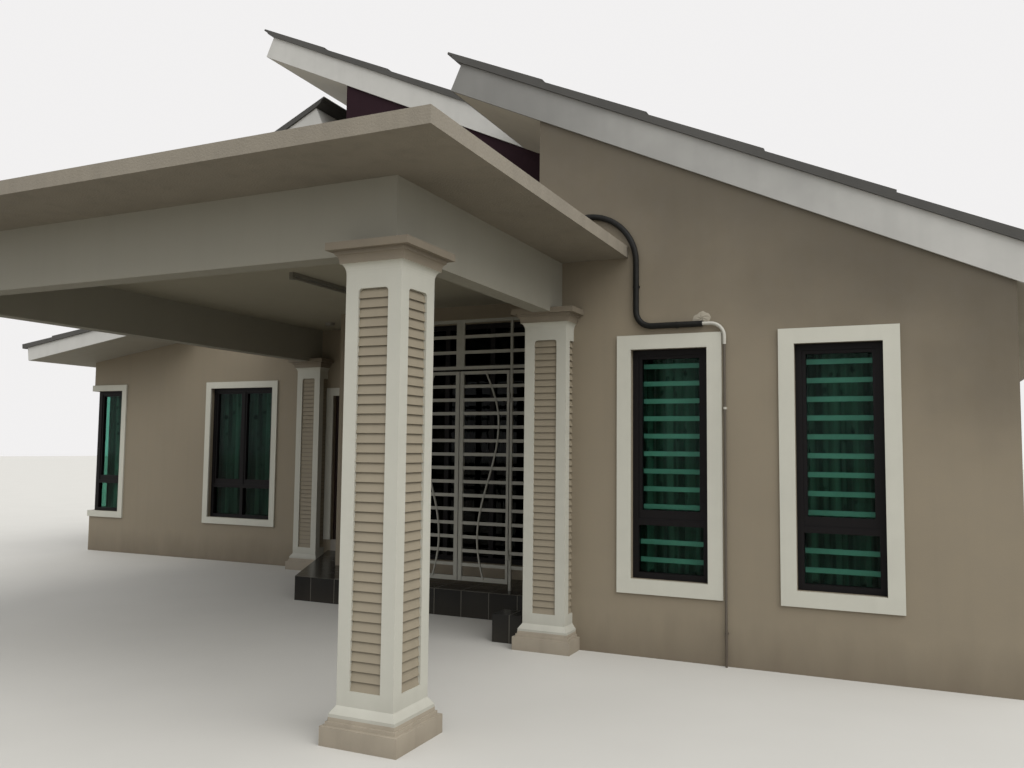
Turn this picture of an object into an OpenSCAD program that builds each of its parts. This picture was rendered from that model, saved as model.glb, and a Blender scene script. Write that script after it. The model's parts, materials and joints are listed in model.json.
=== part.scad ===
// Single-storey house with a carport, a barred entrance porch and crossing shed roofs.
// Origin: on the ground, at the foot of the hall's front wall. X runs to the right, Y to the back.

/* [Plan] */
// Distance from the origin to the right wing's left side
wing_x = 2110; // [1900:10:2400]
// Width of the right wing
wing_w = 3580; // [3300:10:4200]
// How far the right wing stands forward of the hall
wing_out = 1650; // [1400:10:1900]
// Width of the hall front between the two wings
hall_w = 3250; // [3000:10:3500]
// Width of the left wing
left_w = 5480; // [5300:10:6000]
// How far the left wing's front is set back behind the hall front
left_back = 1150; // [1000:10:1300]
// Depth from the hall front to the outside of the back wall
depth = 6600; // [5600:100:8000]
// Thickness of the outer walls
wall_t = 180; // [140:5:220]

/* [Levels] */
// Height of the indoor floor above the lowest ground
floor_top = 400; // [360:5:420]
// Thickness of the indoor floor slab
floor_t = 150; // [100:5:180]
// Height of the tiled porch platform
platform_top = 255; // [200:5:280]
// Distance from the hall front to the platform's front edge
platform_out = 880; // [800:10:1000]
// Distance from the hall's left side to the platform's front left corner
platform_in = 120; // [60:10:300]
// Width of the small tiled block beside the right pilaster
step_w = 270; // [200:10:330]
// Depth of the small tiled block
step_d = 230; // [180:10:300]
// How much lower the small block is than the platform
step_drop = 20; // [5:5:60]
// How far the small block stands forward of the wing's front
step_out = 60; // [20:10:120]

/* [Carport] */
// Side of the square columns
column_w = 370; // [330:5:400]
// Distance from the origin to the right-hand column centres
column_x = 2250; // [2200:10:2300]
// Distance between the left and right column centres
column_span = 4600; // [4400:10:4800]
// Distance from the hall front to the front column centres
column_y = 4200; // [3900:10:4600]
// How far the wall pilasters stand proud of their wall
pilaster_out = 180; // [120:5:240]
// Width of the roof beams
beam_w = 155; // [130:5:180]
// Height of the underside of the roof beams
beam_bottom = 2770; // [2750:5:2900]
// Depth of the roof beams
beam_h = 450; // [400:10:480]
// Thickness of the carport roof slab
slab_t = 95; // [80:5:120]
// Slab overhang in front of the front column centres
slab_over_front = 707; // [500:1:900]
// Slab overhang beyond the side column centres
slab_over_side = 660; // [500:10:800]
// Thickness of the plaster ceiling between the beams
ceiling_t = 12; // [8:1:20]

/* [Column casing] */
// Height of the top of the grey plinth
plinth_top = 150; // [120:5:180]
// Side of the plinth
plinth_w = 500; // [460:10:560]
// Height of each small step on the plinth
plinth_step_h = 22; // [15:1:30]
// Width of each small step on the plinth
plinth_step_w = 22; // [10:1:30]
// Height of the top of the white casing
casing_top = 2690; // [2640:5:2700]
// Outward flare at the foot and crown of the casing
flare_out = 30; // [15:1:40]
// Height of the flare
flare_h = 60; // [40:5:90]
// Width of the plain strip at each corner
strip_w = 85; // [65:5:100]
// Plain height below and above the lapped panels
panel_margin = 145; // [100:5:200]
// Depth of the recess that holds a lapped panel
recess_d = 26; // [20:1:34]
// Radius of the recess's top corners
recess_r = 24; // [12:1:40]
// Exposed height of one lapped board
lap_h = 54; // [48:1:70]
// Thickness of a lapped board at its lower edge
lap_t = 18; // [10:1:20]
// Thickness of a lapped board at its upper edge
lap_thin = 5; // [3:1:8]
// Overhang of the capital's lower step
capital_low_out = 52; // [46:1:70]
// Overhang of the capital's upper band
capital_out = 90; // [75:1:120]
// Height of the capital's upper band
capital_band_h = 44; // [30:2:60]
// How far the capital wraps up round the beam
capital_wrap = 36; // [20:2:60]

/* [Roofs] */
// Pitch of the large roof that falls to the right
main_pitch = 25; // [22:0.5:27]
// Height of the underside of its board over the right-hand wall
main_eave_z = 2832; // [2800:5:2950]
// Eave overhang beyond the right-hand wall
main_eave_out = 600; // [400:10:800]
// High-end overhang past the right wing's left side
wing_roof_over = 884; // [600:2:1000]
// High-end overhang past the hall's left side
hall_roof_over = 1240; // [900:10:1300]
// Roof overhang beyond the back wall
rear_over = 400; // [300:10:500]
// Depth of the roof-edge boards
board_d = 260; // [220:5:300]
// Thickness of the roof-edge boards
board_t = 24; // [18:1:30]
// Thickness of the roof covering
cover_t = 54; // [44:2:80]
// Rise of a verge capping at its lower end
cap_t = 20; // [12:1:28]
// Length of one verge capping
cap_len = 1030; // [700:10:1400]
// Width of the verge cappings
cap_w = 150; // [100:10:220]
// Thickness of the lip at the covering's high end
lip_t = 18; // [12:1:24]
// Length of the lip past the rounded end
lip_out = 50; // [30:5:60]
// How far the covering runs past the boards at the front and back
cover_out = 25; // [10:1:40]
// How far the low left roof's covering runs past its eave board
low_cover_out = 85; // [60:5:100]
// How far the covering runs past the board at a high end
cover_high_out = 170; // [130:5:200]
// Thickness of the soffit boards
soffit_t = 16; // [12:1:20]
// Joint left between neighbouring boards
board_gap = 3; // [2:0.5:5]
// Clearance where a sloping piece sits on a wall or against a board
seat_gap = 0.3; // [0.2:0.1:0.6]
// Distance in front of the left wing's wall to its roof edge
left_verge_out = 930; // [700:10:1100]
// Distance from the hall's left side to the upper left roof's high wall
upper_gap = 700; // [600:10:800]
// Width of the raised block over the left wing
upper_w = 2660; // [2400:10:2900]
// High-end overhang of the upper left roof
upper_high_over = 188; // [120:2:250]
// Low-end overhang of the upper left roof
upper_low_over = 500; // [300:10:600]
// Height of the board's underside at the upper left roof's high end
upper_high_z = 5679; // [5400:1:5800]
// Pitch of the low roof that falls to the left
low_pitch = 8.1; // [6:0.1:10]
// Height of the underside of its board over the left wall
low_eave_z = 2906; // [2850:1:3000]
// Eave overhang beyond the left wall
low_eave_out = 305; // [250:5:400]
// Depth of the low roof's boards
low_board_d = 195; // [160:5:220]

/* [Windows] */
// Width of a narrow window opening
window_w = 620; // [540:10:700]
// Width of a wide window opening
wide_w = 1120; // [1000:10:1200]
// Height of the window sills
sill_z = 610; // [560:5:700]
// Height of the window openings
window_h = 1845; // [1700:5:1900]
// Width of the trim round the narrow windows
trim_w = 115; // [90:5:130]
// Width of the trim round the wide windows and the corner window
wide_trim_w = 90; // [70:5:110]
// How far the trims stand proud of the wall
trim_out = 22; // [12:1:30]
// Depth of the window frames
frame_d = 70; // [50:5:90]
// Set-back of the window frames from the wall face
frame_set = 50; // [30:5:70]
// Face width of the window frames
frame_w = 48; // [36:2:60]
// Height of the window transom bar above the sill
transom_up = 425; // [350:5:500]
// Face width of the opening sash in the upper light
sash_w = 28; // [20:1:36]
// Height of the sash's bottom rail
sash_rail = 72; // [40:2:90]
// Set-back of the sash from the frame's face
sash_set = 10; // [4:1:16]
// Thickness of the window glass
glass_t = 6; // [4:1:10]
// Distance from the wing's left side to its first window's centre
wing_window_1 = 1136; // [1050:1:1200]
// Distance between the wing's two window centres
wing_window_gap = 1277; // [1150:1:1350]
// Distance from the left pilaster's centre to the wide window's centre
left_window_in = 1305; // [1200:5:1500]
// Width of the corner window along each of its two walls
corner_w = 620; // [540:10:700]

/* [Door] */
// Distance from the left wing's right end to the door opening
door_in = 125; // [100:5:200]
// Height of the door opening
door_h = 1917; // [1850:1:2100]
// Thickness of the door leaf
door_t = 40; // [35:1:50]
// Width of the white surround
surround_w = 105; // [80:5:115]
// Gap between the surround and the pilaster beside it
surround_gap = 2; // [1:1:20]
// Thickness of the timber jamb
jamb_t = 35; // [25:1:45]
// Depth of the timber jamb
jamb_d = 100; // [80:5:120]
// Clearance round moving leaves
leaf_gap = 7; // [6:0.5:9]
// Width of the door leaf's stiles and rails round its panels
stile_w = 110; // [90:5:130]
// Depth of the groove round a raised door panel
panel_cut = 8; // [5:1:12]
// Width of the groove round a raised door panel
groove_w = 18; // [12:1:26]
// Distance from the leaf's ends to its hinges
door_hinge_in = 250; // [180:10:320]
// Height of the door handle above the floor
handle_up = 1000; // [900:10:1100]
// Distance from the door leaf's edge to the handle's spindle
handle_in = 60; // [50:1:75]
// Length of the door handle's lever
handle_len = 120; // [100:5:140]

/* [Entrance glazing] */
// Distance from the wing's left side to the glazed entrance
entry_in = 110; // [90:5:160]
// Width of the glazed entrance
entry_w = 2300; // [2200:10:2400]
// Height of the glazed entrance
entry_h = 2610; // [2500:5:2640]
// Height of the sliding leaves under the top lights
entry_leaf_h = 2100; // [2000:5:2200]
// Face width of the entrance frame's bars
entry_bar = 55; // [45:1:70]

/* [Grille] */
// Distance of the grille in front of the hall wall
grille_y = 680; // [600:5:720]
// Distance from the wing's left side to the meeting of the two gates
gate_mid_in = 1267; // [1200:1:1300]
// Distance between the gate post centres
gate_span = 1154; // [1100:2:1200]
// Width of the fixed side panel left of the gates
side_panel_w = 690; // [600:10:720]
// Side of the square posts and of the stiles at the hinges
post_w = 26; // [22:1:36]
// Width of each meeting stile
meet_w = 42; // [34:1:50]
// Gap between a leaf and its post, and between the two leaves
gate_gap = 9; // [8:0.5:12]
// Height of the horizontal bars
bar_h = 32; // [24:1:36]
// Depth of the horizontal bars
bar_d = 18; // [14:1:22]
// Height of the top rail's centre
grille_top = 2928; // [2860:1:2960]
// Distance from the top rail to the rail over the gates
grille_head = 478; // [450:1:500]
// Distance from the rail over the gates to the gates' top rail
gate_drop = 52; // [48:1:70]
// Distance between the bars' centres
bar_pitch = 137.2; // [125:0.2:150]
// Number of bars in a gate leaf
gate_bars = 14; // [13:1:15]
// Height of the gates' bottom rail
bottom_rail_h = 45; // [36:1:50]
// Thickness of the curved rods
rod_w = 14; // [10:1:18]
// Curved rod's place at its top, as a share of the leaf from the meeting stile
rod_top = 0.52; // [0.4:0.01:0.6]
// Its widest place
rod_wide = 0.82; // [0.7:0.01:0.88]
// Height of the widest place, as a share of the leaf from its top
rod_wide_at = 0.25; // [0.15:0.01:0.35]
// Its place nearest to the meeting stile
rod_near = 0.355; // [0.25:0.005:0.45]
// Height of the nearest place, as a share of the leaf from its top
rod_near_at = 0.805; // [0.7:0.005:0.9]
// Its place at the foot
rod_foot = 0.50; // [0.4:0.01:0.6]
// Height of the lock above the ground
lock_z = 1487; // [1300:1:1600]
// Radius of the lock's keyhole plate
lock_r = 11; // [8:1:15]
// Distance from the gates' ends to their hinges
gate_hinge_in = 260; // [180:10:400]
// Radius of the hinge barrels
barrel_r = 9; // [8:0.5:12]
// Radius of the hinge pins
pin_r = 5; // [4:0.5:6]
// Length of a hinge barrel
barrel_h = 50; // [40:1:70]
// Clearance between a hinge pin and its barrel
pin_gap = 0.3; // [0.2:0.05:0.6]

/* [Ceiling lamps] */
// Length of the tube lamp under the carport ceiling
tube_lamp_l = 1200; // [600:10:1500]
// Width of the tube lamp's housing
tube_lamp_w = 40; // [30:1:60]
// Height of the tube lamp's housing
tube_lamp_h = 32; // [24:1:50]
// Radius of the lamp's tube
tube_r = 13; // [8:0.5:19]
// Gap between the tube and its housing
tube_gap = 5; // [2:1:12]
// Side of the square holders at the tube's ends
holder_w = 36; // [30:1:46]
// Distance from the hall front to the middle of the tube lamp
tube_lamp_y = 1680; // [1200:10:2400]
// Radius of the round lamp by the timber door
round_lamp_r = 65; // [50:1:90]
// Height of the round lamp
round_lamp_h = 34; // [24:1:50]
// Distance from the left column centres to the round lamp
round_lamp_in = 645; // [500:5:800]
// Distance from the round lamp to the left wing's front
round_lamp_out = 608; // [500:2:800]

/* [Wall pipes] */
// Radius of the insulated hose on the right wing's front
hose_r = 24; // [18:1:30]
// Distance from the wall to the middle of the pipes
pipe_out = 27; // [26:1:40]
// Distance from the slab's side to the hose's middle
hose_off = 75; // [55:5:120]
// Height of the hose's level run above the window trim
hose_over = 70; // [45:5:100]
// Radius of the hose's lower bend
hose_bend = 130; // [100:5:150]
// Height of the hose's arch above the slab
hose_up = 275; // [250:5:320]
// Radius of the arch on the side of the wall
hose_arch = 420; // [360:10:440]
// Radius of the arch on the side of the slab
hose_back = 200; // [120:10:240]
// Radius of the white elbow pipe
elbow_r = 14; // [11:1:18]
// Bend radius of the white elbow pipe
elbow_bend = 110; // [60:5:120]
// Straight length of white pipe before and after its bend
elbow_run = 60; // [40:5:80]
// Radius of the thin conduit
conduit_r = 10; // [8:1:14]
// Gap between the window trim and the conduit
conduit_gap = 15; // [14:1:24]
// Height of the conduit's lower clip
clip_low = 250; // [150:10:500]
// Height of the conduit's upper clip
clip_high = 1970; // [1600:10:2200]
// Height of a pipe clip
clip_h = 16; // [10:1:24]

/* [Hidden] */

eps = 1;
wall_paint = [0.55, 0.50, 0.45];
white_paint = [0.88, 0.87, 0.85];
maroon_paint = [0.28, 0.10, 0.12];
trim_grey = [0.60, 0.53, 0.46];
roof_grey = [0.30, 0.30, 0.31];
dark_metal = [0.12, 0.10, 0.10];
green_glass = [0.10, 0.35, 0.30, 0.6];

// Plan positions
wing_front = -wing_out;
right_x = wing_x + wing_w;
hall_x = wing_x - hall_w;
left_x = hall_x - left_w;
left_front = left_back;
back_y = depth;
in_back = back_y - wall_t;

// Carport positions
col_y = -column_y;
left_col_x = column_x - column_span;
slab_bottom = beam_bottom + beam_h;
slab_top = slab_bottom + slab_t;
slab_front = col_y - slab_over_front;
slab_right = column_x + slab_over_side;
slab_left = left_col_x - slab_over_side;
half_col = column_w / 2;
half_beam = beam_w / 2;

// Main roof: everything is measured along the slope from the eave side of the right wing's wall
main_cos = cos(main_pitch);
main_tan = tan(main_pitch);
main_cover_z = board_d / main_cos;
function main_under(x) = main_eave_z + main_tan * (right_x - x) + main_cover_z - seat_gap;
function main_s(x) = (x - right_x) / main_cos;
wing_high = wing_x - wing_roof_over;
hall_high = hall_x - hall_roof_over;
main_low = right_x + main_eave_out;
rear_edge = back_y + rear_over;

// Upper left roof falls to the left from its high end
upper_wall_x = hall_x - upper_gap;
upper_low_x = upper_wall_x - upper_w;
upper_high = upper_wall_x + upper_high_over;
upper_low = upper_low_x - upper_low_over;
left_verge = left_front - left_verge_out;
function upper_under(x) = upper_high_z - main_tan * (upper_high - x) + main_cover_z - seat_gap;

// Low left roof falls to the left
low_cos = cos(low_pitch);
low_tan = tan(low_pitch);
low_left = left_x - low_eave_out;
function low_under(x) = low_eave_z + low_tan * (x - left_x) + low_board_d / low_cos - seat_gap;

// Openings
window_top = sill_z + window_h;
wing_win_1 = wing_x + wing_window_1;
wing_win_2 = wing_win_1 + wing_window_gap;
left_win = left_col_x - left_window_in;
corner_right = left_x + corner_w;
corner_back = left_front + corner_w;
door_right = hall_x - door_in;
door_left = left_col_x + half_col + surround_gap + surround_w;
door_top = floor_top + door_h;
entry_right = wing_x - entry_in;
entry_left = entry_right - entry_w;
entry_top = floor_top + entry_h;
right_end = right_x - wall_t;

// Each window is [x, y, turn, opening width, trim width]; turn 0 faces the front
front_windows = [[wing_win_1, wing_front, 0, window_w, trim_w],
                 [wing_win_2, wing_front, 0, window_w, trim_w],
                 [left_win, left_front, 0, wide_w, wide_trim_w]];
side_window_y = [for (k = [1:3]) wing_front + k * (depth + wing_out) / 4];
left_side_y = (corner_back + depth) / 2;
rear_window_x = [left_x + left_w / 4, left_x + 3 * left_w / 4, hall_x + hall_w / 2, wing_x + wing_w / 2];
rear_windows = concat(
    [for (y = side_window_y) [right_x, y, 90, window_w, trim_w]],
    [for (x = rear_window_x) [x, back_y, 180, wide_w, wide_trim_w]],
    [[left_x, left_side_y, -90, wide_w, wide_trim_w]]);

// Grille positions
gate_mid = wing_x - gate_mid_in;
post_right = gate_mid + gate_span / 2;
post_left = gate_mid - gate_span / 2;
panel_left = post_left - side_panel_w;
head_rail = grille_top - grille_head;
gate_top = head_rail - gate_drop;
gate_bottom = gate_top - (gate_bars + 1) * bar_pitch;
gate_front = -grille_y - post_w / 2;
gate_axis_y = gate_front - barrel_r;
gate_axis_in = (post_w + gate_gap) / 2;
gate_hinges = [gate_bottom + gate_hinge_in, gate_top - gate_hinge_in];
bar_heights = [for (k = [0:gate_bars]) gate_top - k * bar_pitch];
head_heights = [for (k = [0:2]) grille_top - k * grille_head / 3];

// Door positions
jamb_y = left_front + frame_set;
leaf_y = jamb_y + jamb_d - door_t;
leaf_left = door_left + jamb_t + leaf_gap;
leaf_right = door_right - jamb_t - leaf_gap;
leaf_bottom = floor_top + leaf_gap;
leaf_top = door_top - jamb_t - leaf_gap;
door_axis_x = door_left + jamb_t + leaf_gap / 2;
door_axis_y = leaf_y + door_t + barrel_r;
door_hinges = [leaf_bottom + door_hinge_in, leaf_top - door_hinge_in];

// Box from its low corner to its high corner
module block(low, high) {
    translate(low) cube(high - low);
}

// Upright prism: points are [x, z], drawn between two depths
module upright(points, y0, y1) {
    translate([0, y1, 0]) rotate([90, 0, 0]) linear_extrude(y1 - y0) polygon(points);
}

// Local frame of a window: x along the wall, y into the wall, z from the ground
module at_window(w) {
    translate([w[0], w[1], 0]) rotate([0, 0, w[2]]) children();
}

// Hole through a wall for one window
module window_hole(w) {
    at_window(w) block([-w[3] / 2, -eps, sill_z], [w[3] / 2, wall_t + eps, window_top]);
}

// Flat rectangular ring in a window's local frame
module ring(half_w, z0, z1, width, y0, y1) {
    difference() {
        block([-half_w, y0, z0], [half_w, y1, z1]);
        block([-half_w + width, y0 - eps, z0 + width], [half_w - width, y1 + eps, z1 - width]);
    }
}

module window_trim(w) {
    at_window(w) ring(w[3] / 2 + w[4], sill_z - w[4], window_top + w[4], w[4], -trim_out, 0);
}

// The lights of a window between its frame's sides: one, or two beside a mullion
function lights(w) = w[3] > window_w
    ? [[frame_w - w[3] / 2, -frame_w / 2], [frame_w / 2, w[3] / 2 - frame_w]]
    : [[frame_w - w[3] / 2, w[3] / 2 - frame_w]];

z_mid = sill_z + transom_up;
sash_z = z_mid + frame_w;
sash_top = window_top - frame_w;

// Opening sash in an upper light: three narrow sides and a deeper bottom rail
module sash(x0, x1) {
    y0 = frame_set + sash_set;
    y1 = frame_set + frame_d - sash_set;
    difference() {
        block([x0, y0, sash_z], [x1, y1, sash_top]);
        block([x0 + sash_w, y0 - eps, sash_z + sash_rail], [x1 - sash_w, y1 + eps, sash_top - sash_w]);
    }
}

// A narrow window has one light over its transom; a wide one has a mullion in the middle
module window_frame(w) {
    y1 = frame_set + frame_d;
    at_window(w) {
        for (x = lights(w)) sash(x[0], x[1]);
        ring(w[3] / 2, sill_z, window_top, frame_w, frame_set, y1);
        block([-w[3] / 2 + frame_w, frame_set, z_mid], [w[3] / 2 - frame_w, y1, sash_z]);
        if (w[3] > window_w)
            block([-frame_w / 2, frame_set, sill_z + frame_w], [frame_w / 2, y1, window_top - frame_w]);
    }
}

// One pane between two heights and two places along the wall
module pane(x0, x1, z0, z1) {
    y0 = frame_set + (frame_d - glass_t) / 2;
    block([x0, y0, z0], [x1, y0 + glass_t, z1]);
}

// The panes of one light: a fixed one below the transom and one in the sash above it
module light_panes(x0, x1) {
    pane(x0, x1, sill_z + frame_w, z_mid);
    pane(x0 + sash_w, x1 - sash_w, sash_z + sash_rail, sash_top - sash_w);
}

module window_glass(w) {
    at_window(w) for (x = lights(w)) light_panes(x[0], x[1]);
}

// The corner window's front half lies along X and its side half along Y
module corner_pieces(kind) {
    for (side = [0, 1])
        translate([left_x, left_front, 0])
            mirror(side == 1 ? [1, -1, 0] : [0, 0, 0]) {
                if (kind == "frame") corner_half_frame();
                if (kind == "glass") corner_half_glass();
                if (kind == "trim") corner_half_trim();
            }
}

module corner_half_frame() {
    y0 = frame_set;
    y1 = frame_set + frame_d;
    block([y0, y0, sill_z], [y1, y1, window_top]);
    block([corner_w - frame_w, y0, sill_z], [corner_w, y1, window_top]);
    for (z = [sill_z, z_mid, sash_top])
        block([y0, y0, z], [corner_w, y1, z + frame_w]);
    sash(y1, corner_w - frame_w);
}

module corner_half_glass() {
    light_panes(frame_set + frame_d, corner_w - frame_w);
}

module corner_half_trim() {
    z0 = sill_z - wide_trim_w;
    z1 = window_top + wide_trim_w;
    block([corner_w, -trim_out, z0], [corner_w + wide_trim_w, 0, z1]);
    for (z = [z0, window_top])
        block([-trim_out, -trim_out, z], [corner_w + wide_trim_w, 0, z + wide_trim_w]);
}

module corner_hole() {
    low = [left_x - eps, left_front - eps, sill_z];
    block(low, [corner_right, left_front + wall_t + eps, window_top]);
    block(low, [left_x + wall_t + eps, corner_back, window_top]);
}

// Walls
module right_front_wall() {
    color(wall_paint) difference() {
        upright([[wing_x, 0], [right_x, 0], [right_x, main_under(right_x)], [wing_x, main_under(wing_x)]],
                wing_front, wing_front + wall_t);
        window_hole(front_windows[0]);
        window_hole(front_windows[1]);
    }
}

module right_side_wall() {
    color(wall_paint) difference() {
        upright([[right_end, 0], [right_x, 0], [right_x, main_under(right_x)],
                 [right_end, main_under(right_end)]], wing_front + wall_t, in_back);
        for (k = [0:2]) window_hole(rear_windows[k]);
    }
}

module right_return_wall() {
    x1 = wing_x + wall_t;
    color(wall_paint)
        upright([[wing_x, 0], [x1, 0], [x1, main_under(x1)], [wing_x, main_under(wing_x)]],
                wing_front + wall_t, wall_t);
}

// The wall under the carport slab, with the tall glazed entrance cut down to the floor
module hall_front_wall() {
    color(wall_paint) difference() {
        block([hall_x, 0, 0], [wing_x, wall_t, slab_top]);
        block([entry_left, -eps, floor_top], [entry_right, wall_t + eps, entry_top]);
    }
    color(wall_paint) block([hall_x, wall_t, 0], [hall_x + wall_t, left_front, slab_top]);
}

// The dark red walls that rise above the carport to the large roof
module clerestory_walls() {
    x1 = hall_x + wall_t;
    color(maroon_paint) {
        upright([[hall_x, slab_top], [wing_x, slab_top], [wing_x, main_under(wing_x)],
                 [hall_x, main_under(hall_x)]], 0, wall_t);
        upright([[hall_x, slab_top], [x1, slab_top], [x1, main_under(x1)], [hall_x, main_under(hall_x)]],
                wall_t, in_back);
    }
}

// The left wing's front, up to the low roof on the left and the raised block beside it
module left_front_wall() {
    y1 = left_front + wall_t;
    color(wall_paint) {
        difference() {
            upright([[left_x, 0], [door_left, 0], [door_left, slab_top], [upper_low_x, slab_top],
                     [upper_low_x, low_under(upper_low_x)], [left_x, low_under(left_x)]], left_front, y1);
            window_hole(front_windows[2]);
            corner_hole();
        }
    }
}

module door_head_wall() {
    y1 = left_front + wall_t;
    color(wall_paint) {
        block([door_left, left_front, door_top], [door_right, y1, slab_top]);
        block([door_left, left_front, 0], [door_right, y1, floor_top - floor_t]);
        block([door_right, left_front, 0], [hall_x, y1, slab_top]);
    }
}

module left_side_wall() {
    x1 = left_x + wall_t;
    color(wall_paint) difference() {
        upright([[left_x, 0], [x1, 0], [x1, low_under(x1)], [left_x, low_under(left_x)]],
                left_front + wall_t, in_back);
        corner_hole();
        window_hole(rear_windows[7]);
    }
}

module rear_wall() {
    color(wall_paint) difference() {
        upright([[left_x, 0], [right_x, 0], [right_x, main_under(right_x)], [hall_x, main_under(hall_x)],
                 [hall_x, slab_top], [upper_low_x, slab_top], [upper_low_x, low_under(upper_low_x)],
                 [left_x, low_under(left_x)]], in_back, back_y);
        for (k = [3:6]) window_hole(rear_windows[k]);
    }
}

// The raised block over the left wing: a ring of walls that carries the upper roof
module upper_left_walls() {
    xa = upper_low_x + wall_t;
    xb = upper_wall_x - wall_t;
    outer = [[upper_low_x, slab_top], [upper_wall_x, slab_top],
             [upper_wall_x, upper_under(upper_wall_x)], [upper_low_x, upper_under(upper_low_x)]];
    color(wall_paint) {
        upright(outer, left_front, left_front + wall_t);
        upright(outer, in_back, back_y);
        upright([[upper_low_x, slab_top], [xa, slab_top], [xa, upper_under(xa)],
                 [upper_low_x, upper_under(upper_low_x)]], left_front + wall_t, in_back);
        upright([[xb, slab_top], [upper_wall_x, slab_top], [upper_wall_x, upper_under(upper_wall_x)],
                 [xb, upper_under(xb)]], left_front + wall_t, in_back);
    }
}

module left_flat_roof() {
    color(trim_grey) block([upper_wall_x - wall_t, left_front + wall_t, slab_bottom],
                           [hall_x + wall_t, in_back, slab_top]);
}

module ground_floor() {
    z0 = floor_top - floor_t;
    color("gray") {
        block([left_x + wall_t, left_front + wall_t, z0], [right_end, in_back, floor_top]);
        block([hall_x + wall_t, wall_t, z0], [right_end, left_front + wall_t, floor_top]);
        block([wing_x + wall_t, wing_front + wall_t, z0], [right_end, wall_t, floor_top]);
        block([door_left, left_front, z0], [door_right, left_front + wall_t, floor_top]);
    }
}

// The tiled platform fills the corner between the wings; its left edge runs aslant to the pilaster
platform_front = -platform_out;
platform_left = hall_x + platform_in;
step_top = platform_top - step_drop;
step_x = column_x - plinth_w / 2 - step_w;
step_y = wing_front - step_out;
module porch_platform() {
    pilaster_side = left_col_x + plinth_w / 2;
    color([0.12, 0.12, 0.13]) {
        linear_extrude(platform_top)
            polygon([[platform_left, platform_front], [wing_x, platform_front], [wing_x, 0], [hall_x, 0],
                     [hall_x, left_front], [pilaster_side, left_front]]);
        translate([step_x, step_y, 0]) cube([step_w, step_d, step_top]);
    }
}

// Windows
module front_window_trims() {
    color(white_paint) {
        for (w = front_windows) window_trim(w);
        corner_pieces("trim");
    }
}

module rear_window_trims() {
    color(white_paint) for (w = rear_windows) window_trim(w);
}

module front_window_frames() {
    color(dark_metal) {
        for (w = front_windows) window_frame(w);
        corner_pieces("frame");
    }
}

module rear_window_frames() {
    color(dark_metal) for (w = rear_windows) window_frame(w);
}

module front_window_glass() {
    color(green_glass) {
        for (w = front_windows) window_glass(w);
        corner_pieces("glass");
    }
}

module rear_window_glass() {
    color(green_glass) for (w = rear_windows) window_glass(w);
}

// A square moulding: one side profile, given as [half width, height], run round all four sides
module square_moulding(profile) {
    outline = concat(profile, [for (k = [len(profile) - 1:-1:0]) [-profile[k][0], profile[k][1]]]);
    reach = max([for (p = profile) p[0]]) + eps;
    intersection() {
        upright(outline, -reach, reach);
        rotate([0, 0, 90]) upright(outline, -reach, reach);
    }
}

// Quarter-round cove from a half width up to a wider one
function cove(w0, w1, z0, z1) =
    [for (k = [0:6]) [w0 + (w1 - w0) * (1 - cos(15 * k)), z0 + (z1 - z0) * sin(15 * k)]];

casing_profile = concat(
    [[half_col + flare_out, plinth_top], [half_col + flare_out, plinth_top + flare_h * 0.3],
     [half_col, plinth_top + flare_h]],
    cove(half_col, half_col + flare_out, casing_top - flare_h, casing_top));
panel_w = column_w - 2 * strip_w;
panel_z0 = plinth_top + panel_margin;
panel_z1 = casing_top - panel_margin;

// Outline of a lapped panel's recess, with rounded top corners
module panel_outline() {
    translate([-panel_w / 2, panel_z0]) square([panel_w, panel_z1 - panel_z0 - recess_r]);
    translate([-panel_w / 2 + recess_r, panel_z0]) square([panel_w - 2 * recess_r, panel_z1 - panel_z0]);
    for (s = [-1, 1])
        translate([s * (panel_w / 2 - recess_r), panel_z1 - recess_r]) circle(recess_r, $fn = 32);
}

module column_casing() {
    difference() {
        square_moulding(casing_profile);
        for (a = [0:90:270])
            rotate([0, 0, a]) translate([0, -half_col + recess_d, 0]) rotate([90, 0, 0])
                linear_extrude(recess_d + eps) panel_outline();
    }
}

// One panel of lapped boards, cut to the recess outline
module siding_panel() {
    count = floor((panel_z1 - panel_z0) / lap_h);
    pitch = (panel_z1 - panel_z0) / count;
    back = -half_col + recess_d;
    steps = [for (k = [0:count - 1]) each [[back - lap_t, panel_z0 + k * pitch],
                                           [back - lap_thin, panel_z0 + (k + 1) * pitch]]];
    intersection() {
        rotate([90, 0, 90]) translate([0, 0, -panel_w / 2])
            linear_extrude(panel_w) polygon(concat([[back, panel_z0]], steps, [[back, panel_z1]]));
        translate([0, back + eps, 0]) rotate([90, 0, 0]) linear_extrude(lap_t + 2 * eps) panel_outline();
    }
}

// Column places; a pilaster's back half is cut away at its wall
front_places = [[column_x, col_y], [left_col_x, col_y]];
pilaster_places = [[column_x, wing_front], [left_col_x, left_front]];

module at_pilaster(p) {
    reach = 2 * column_w;
    intersection() {
        translate([p[0], p[1] - pilaster_out + half_col, 0]) children();
        block([p[0] - reach, p[1] - reach, 0], [p[0] + reach, p[1], slab_top]);
    }
}

module front_columns() {
    color(white_paint) for (p = front_places) translate(p) column_casing();
}

module wall_pilasters() {
    color(white_paint) for (p = pilaster_places) at_pilaster(p) column_casing();
}

module column_siding() {
    color(trim_grey) {
        for (p = front_places, a = [0:90:270]) translate(p) rotate([0, 0, a]) siding_panel();
        for (p = pilaster_places) translate([p[0], p[1] - pilaster_out + half_col, 0]) siding_panel();
    }
}

capital_top = beam_bottom + capital_wrap;
capital_band = capital_top - capital_band_h;
capital_low = capital_band - capital_band_h / 2;
capital_profile = concat(
    cove(half_col + flare_out, half_col + capital_low_out, casing_top, capital_low),
    [[half_col + capital_low_out, capital_band], [half_col + capital_out, capital_band],
     [half_col + capital_out, capital_top]]);

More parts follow.
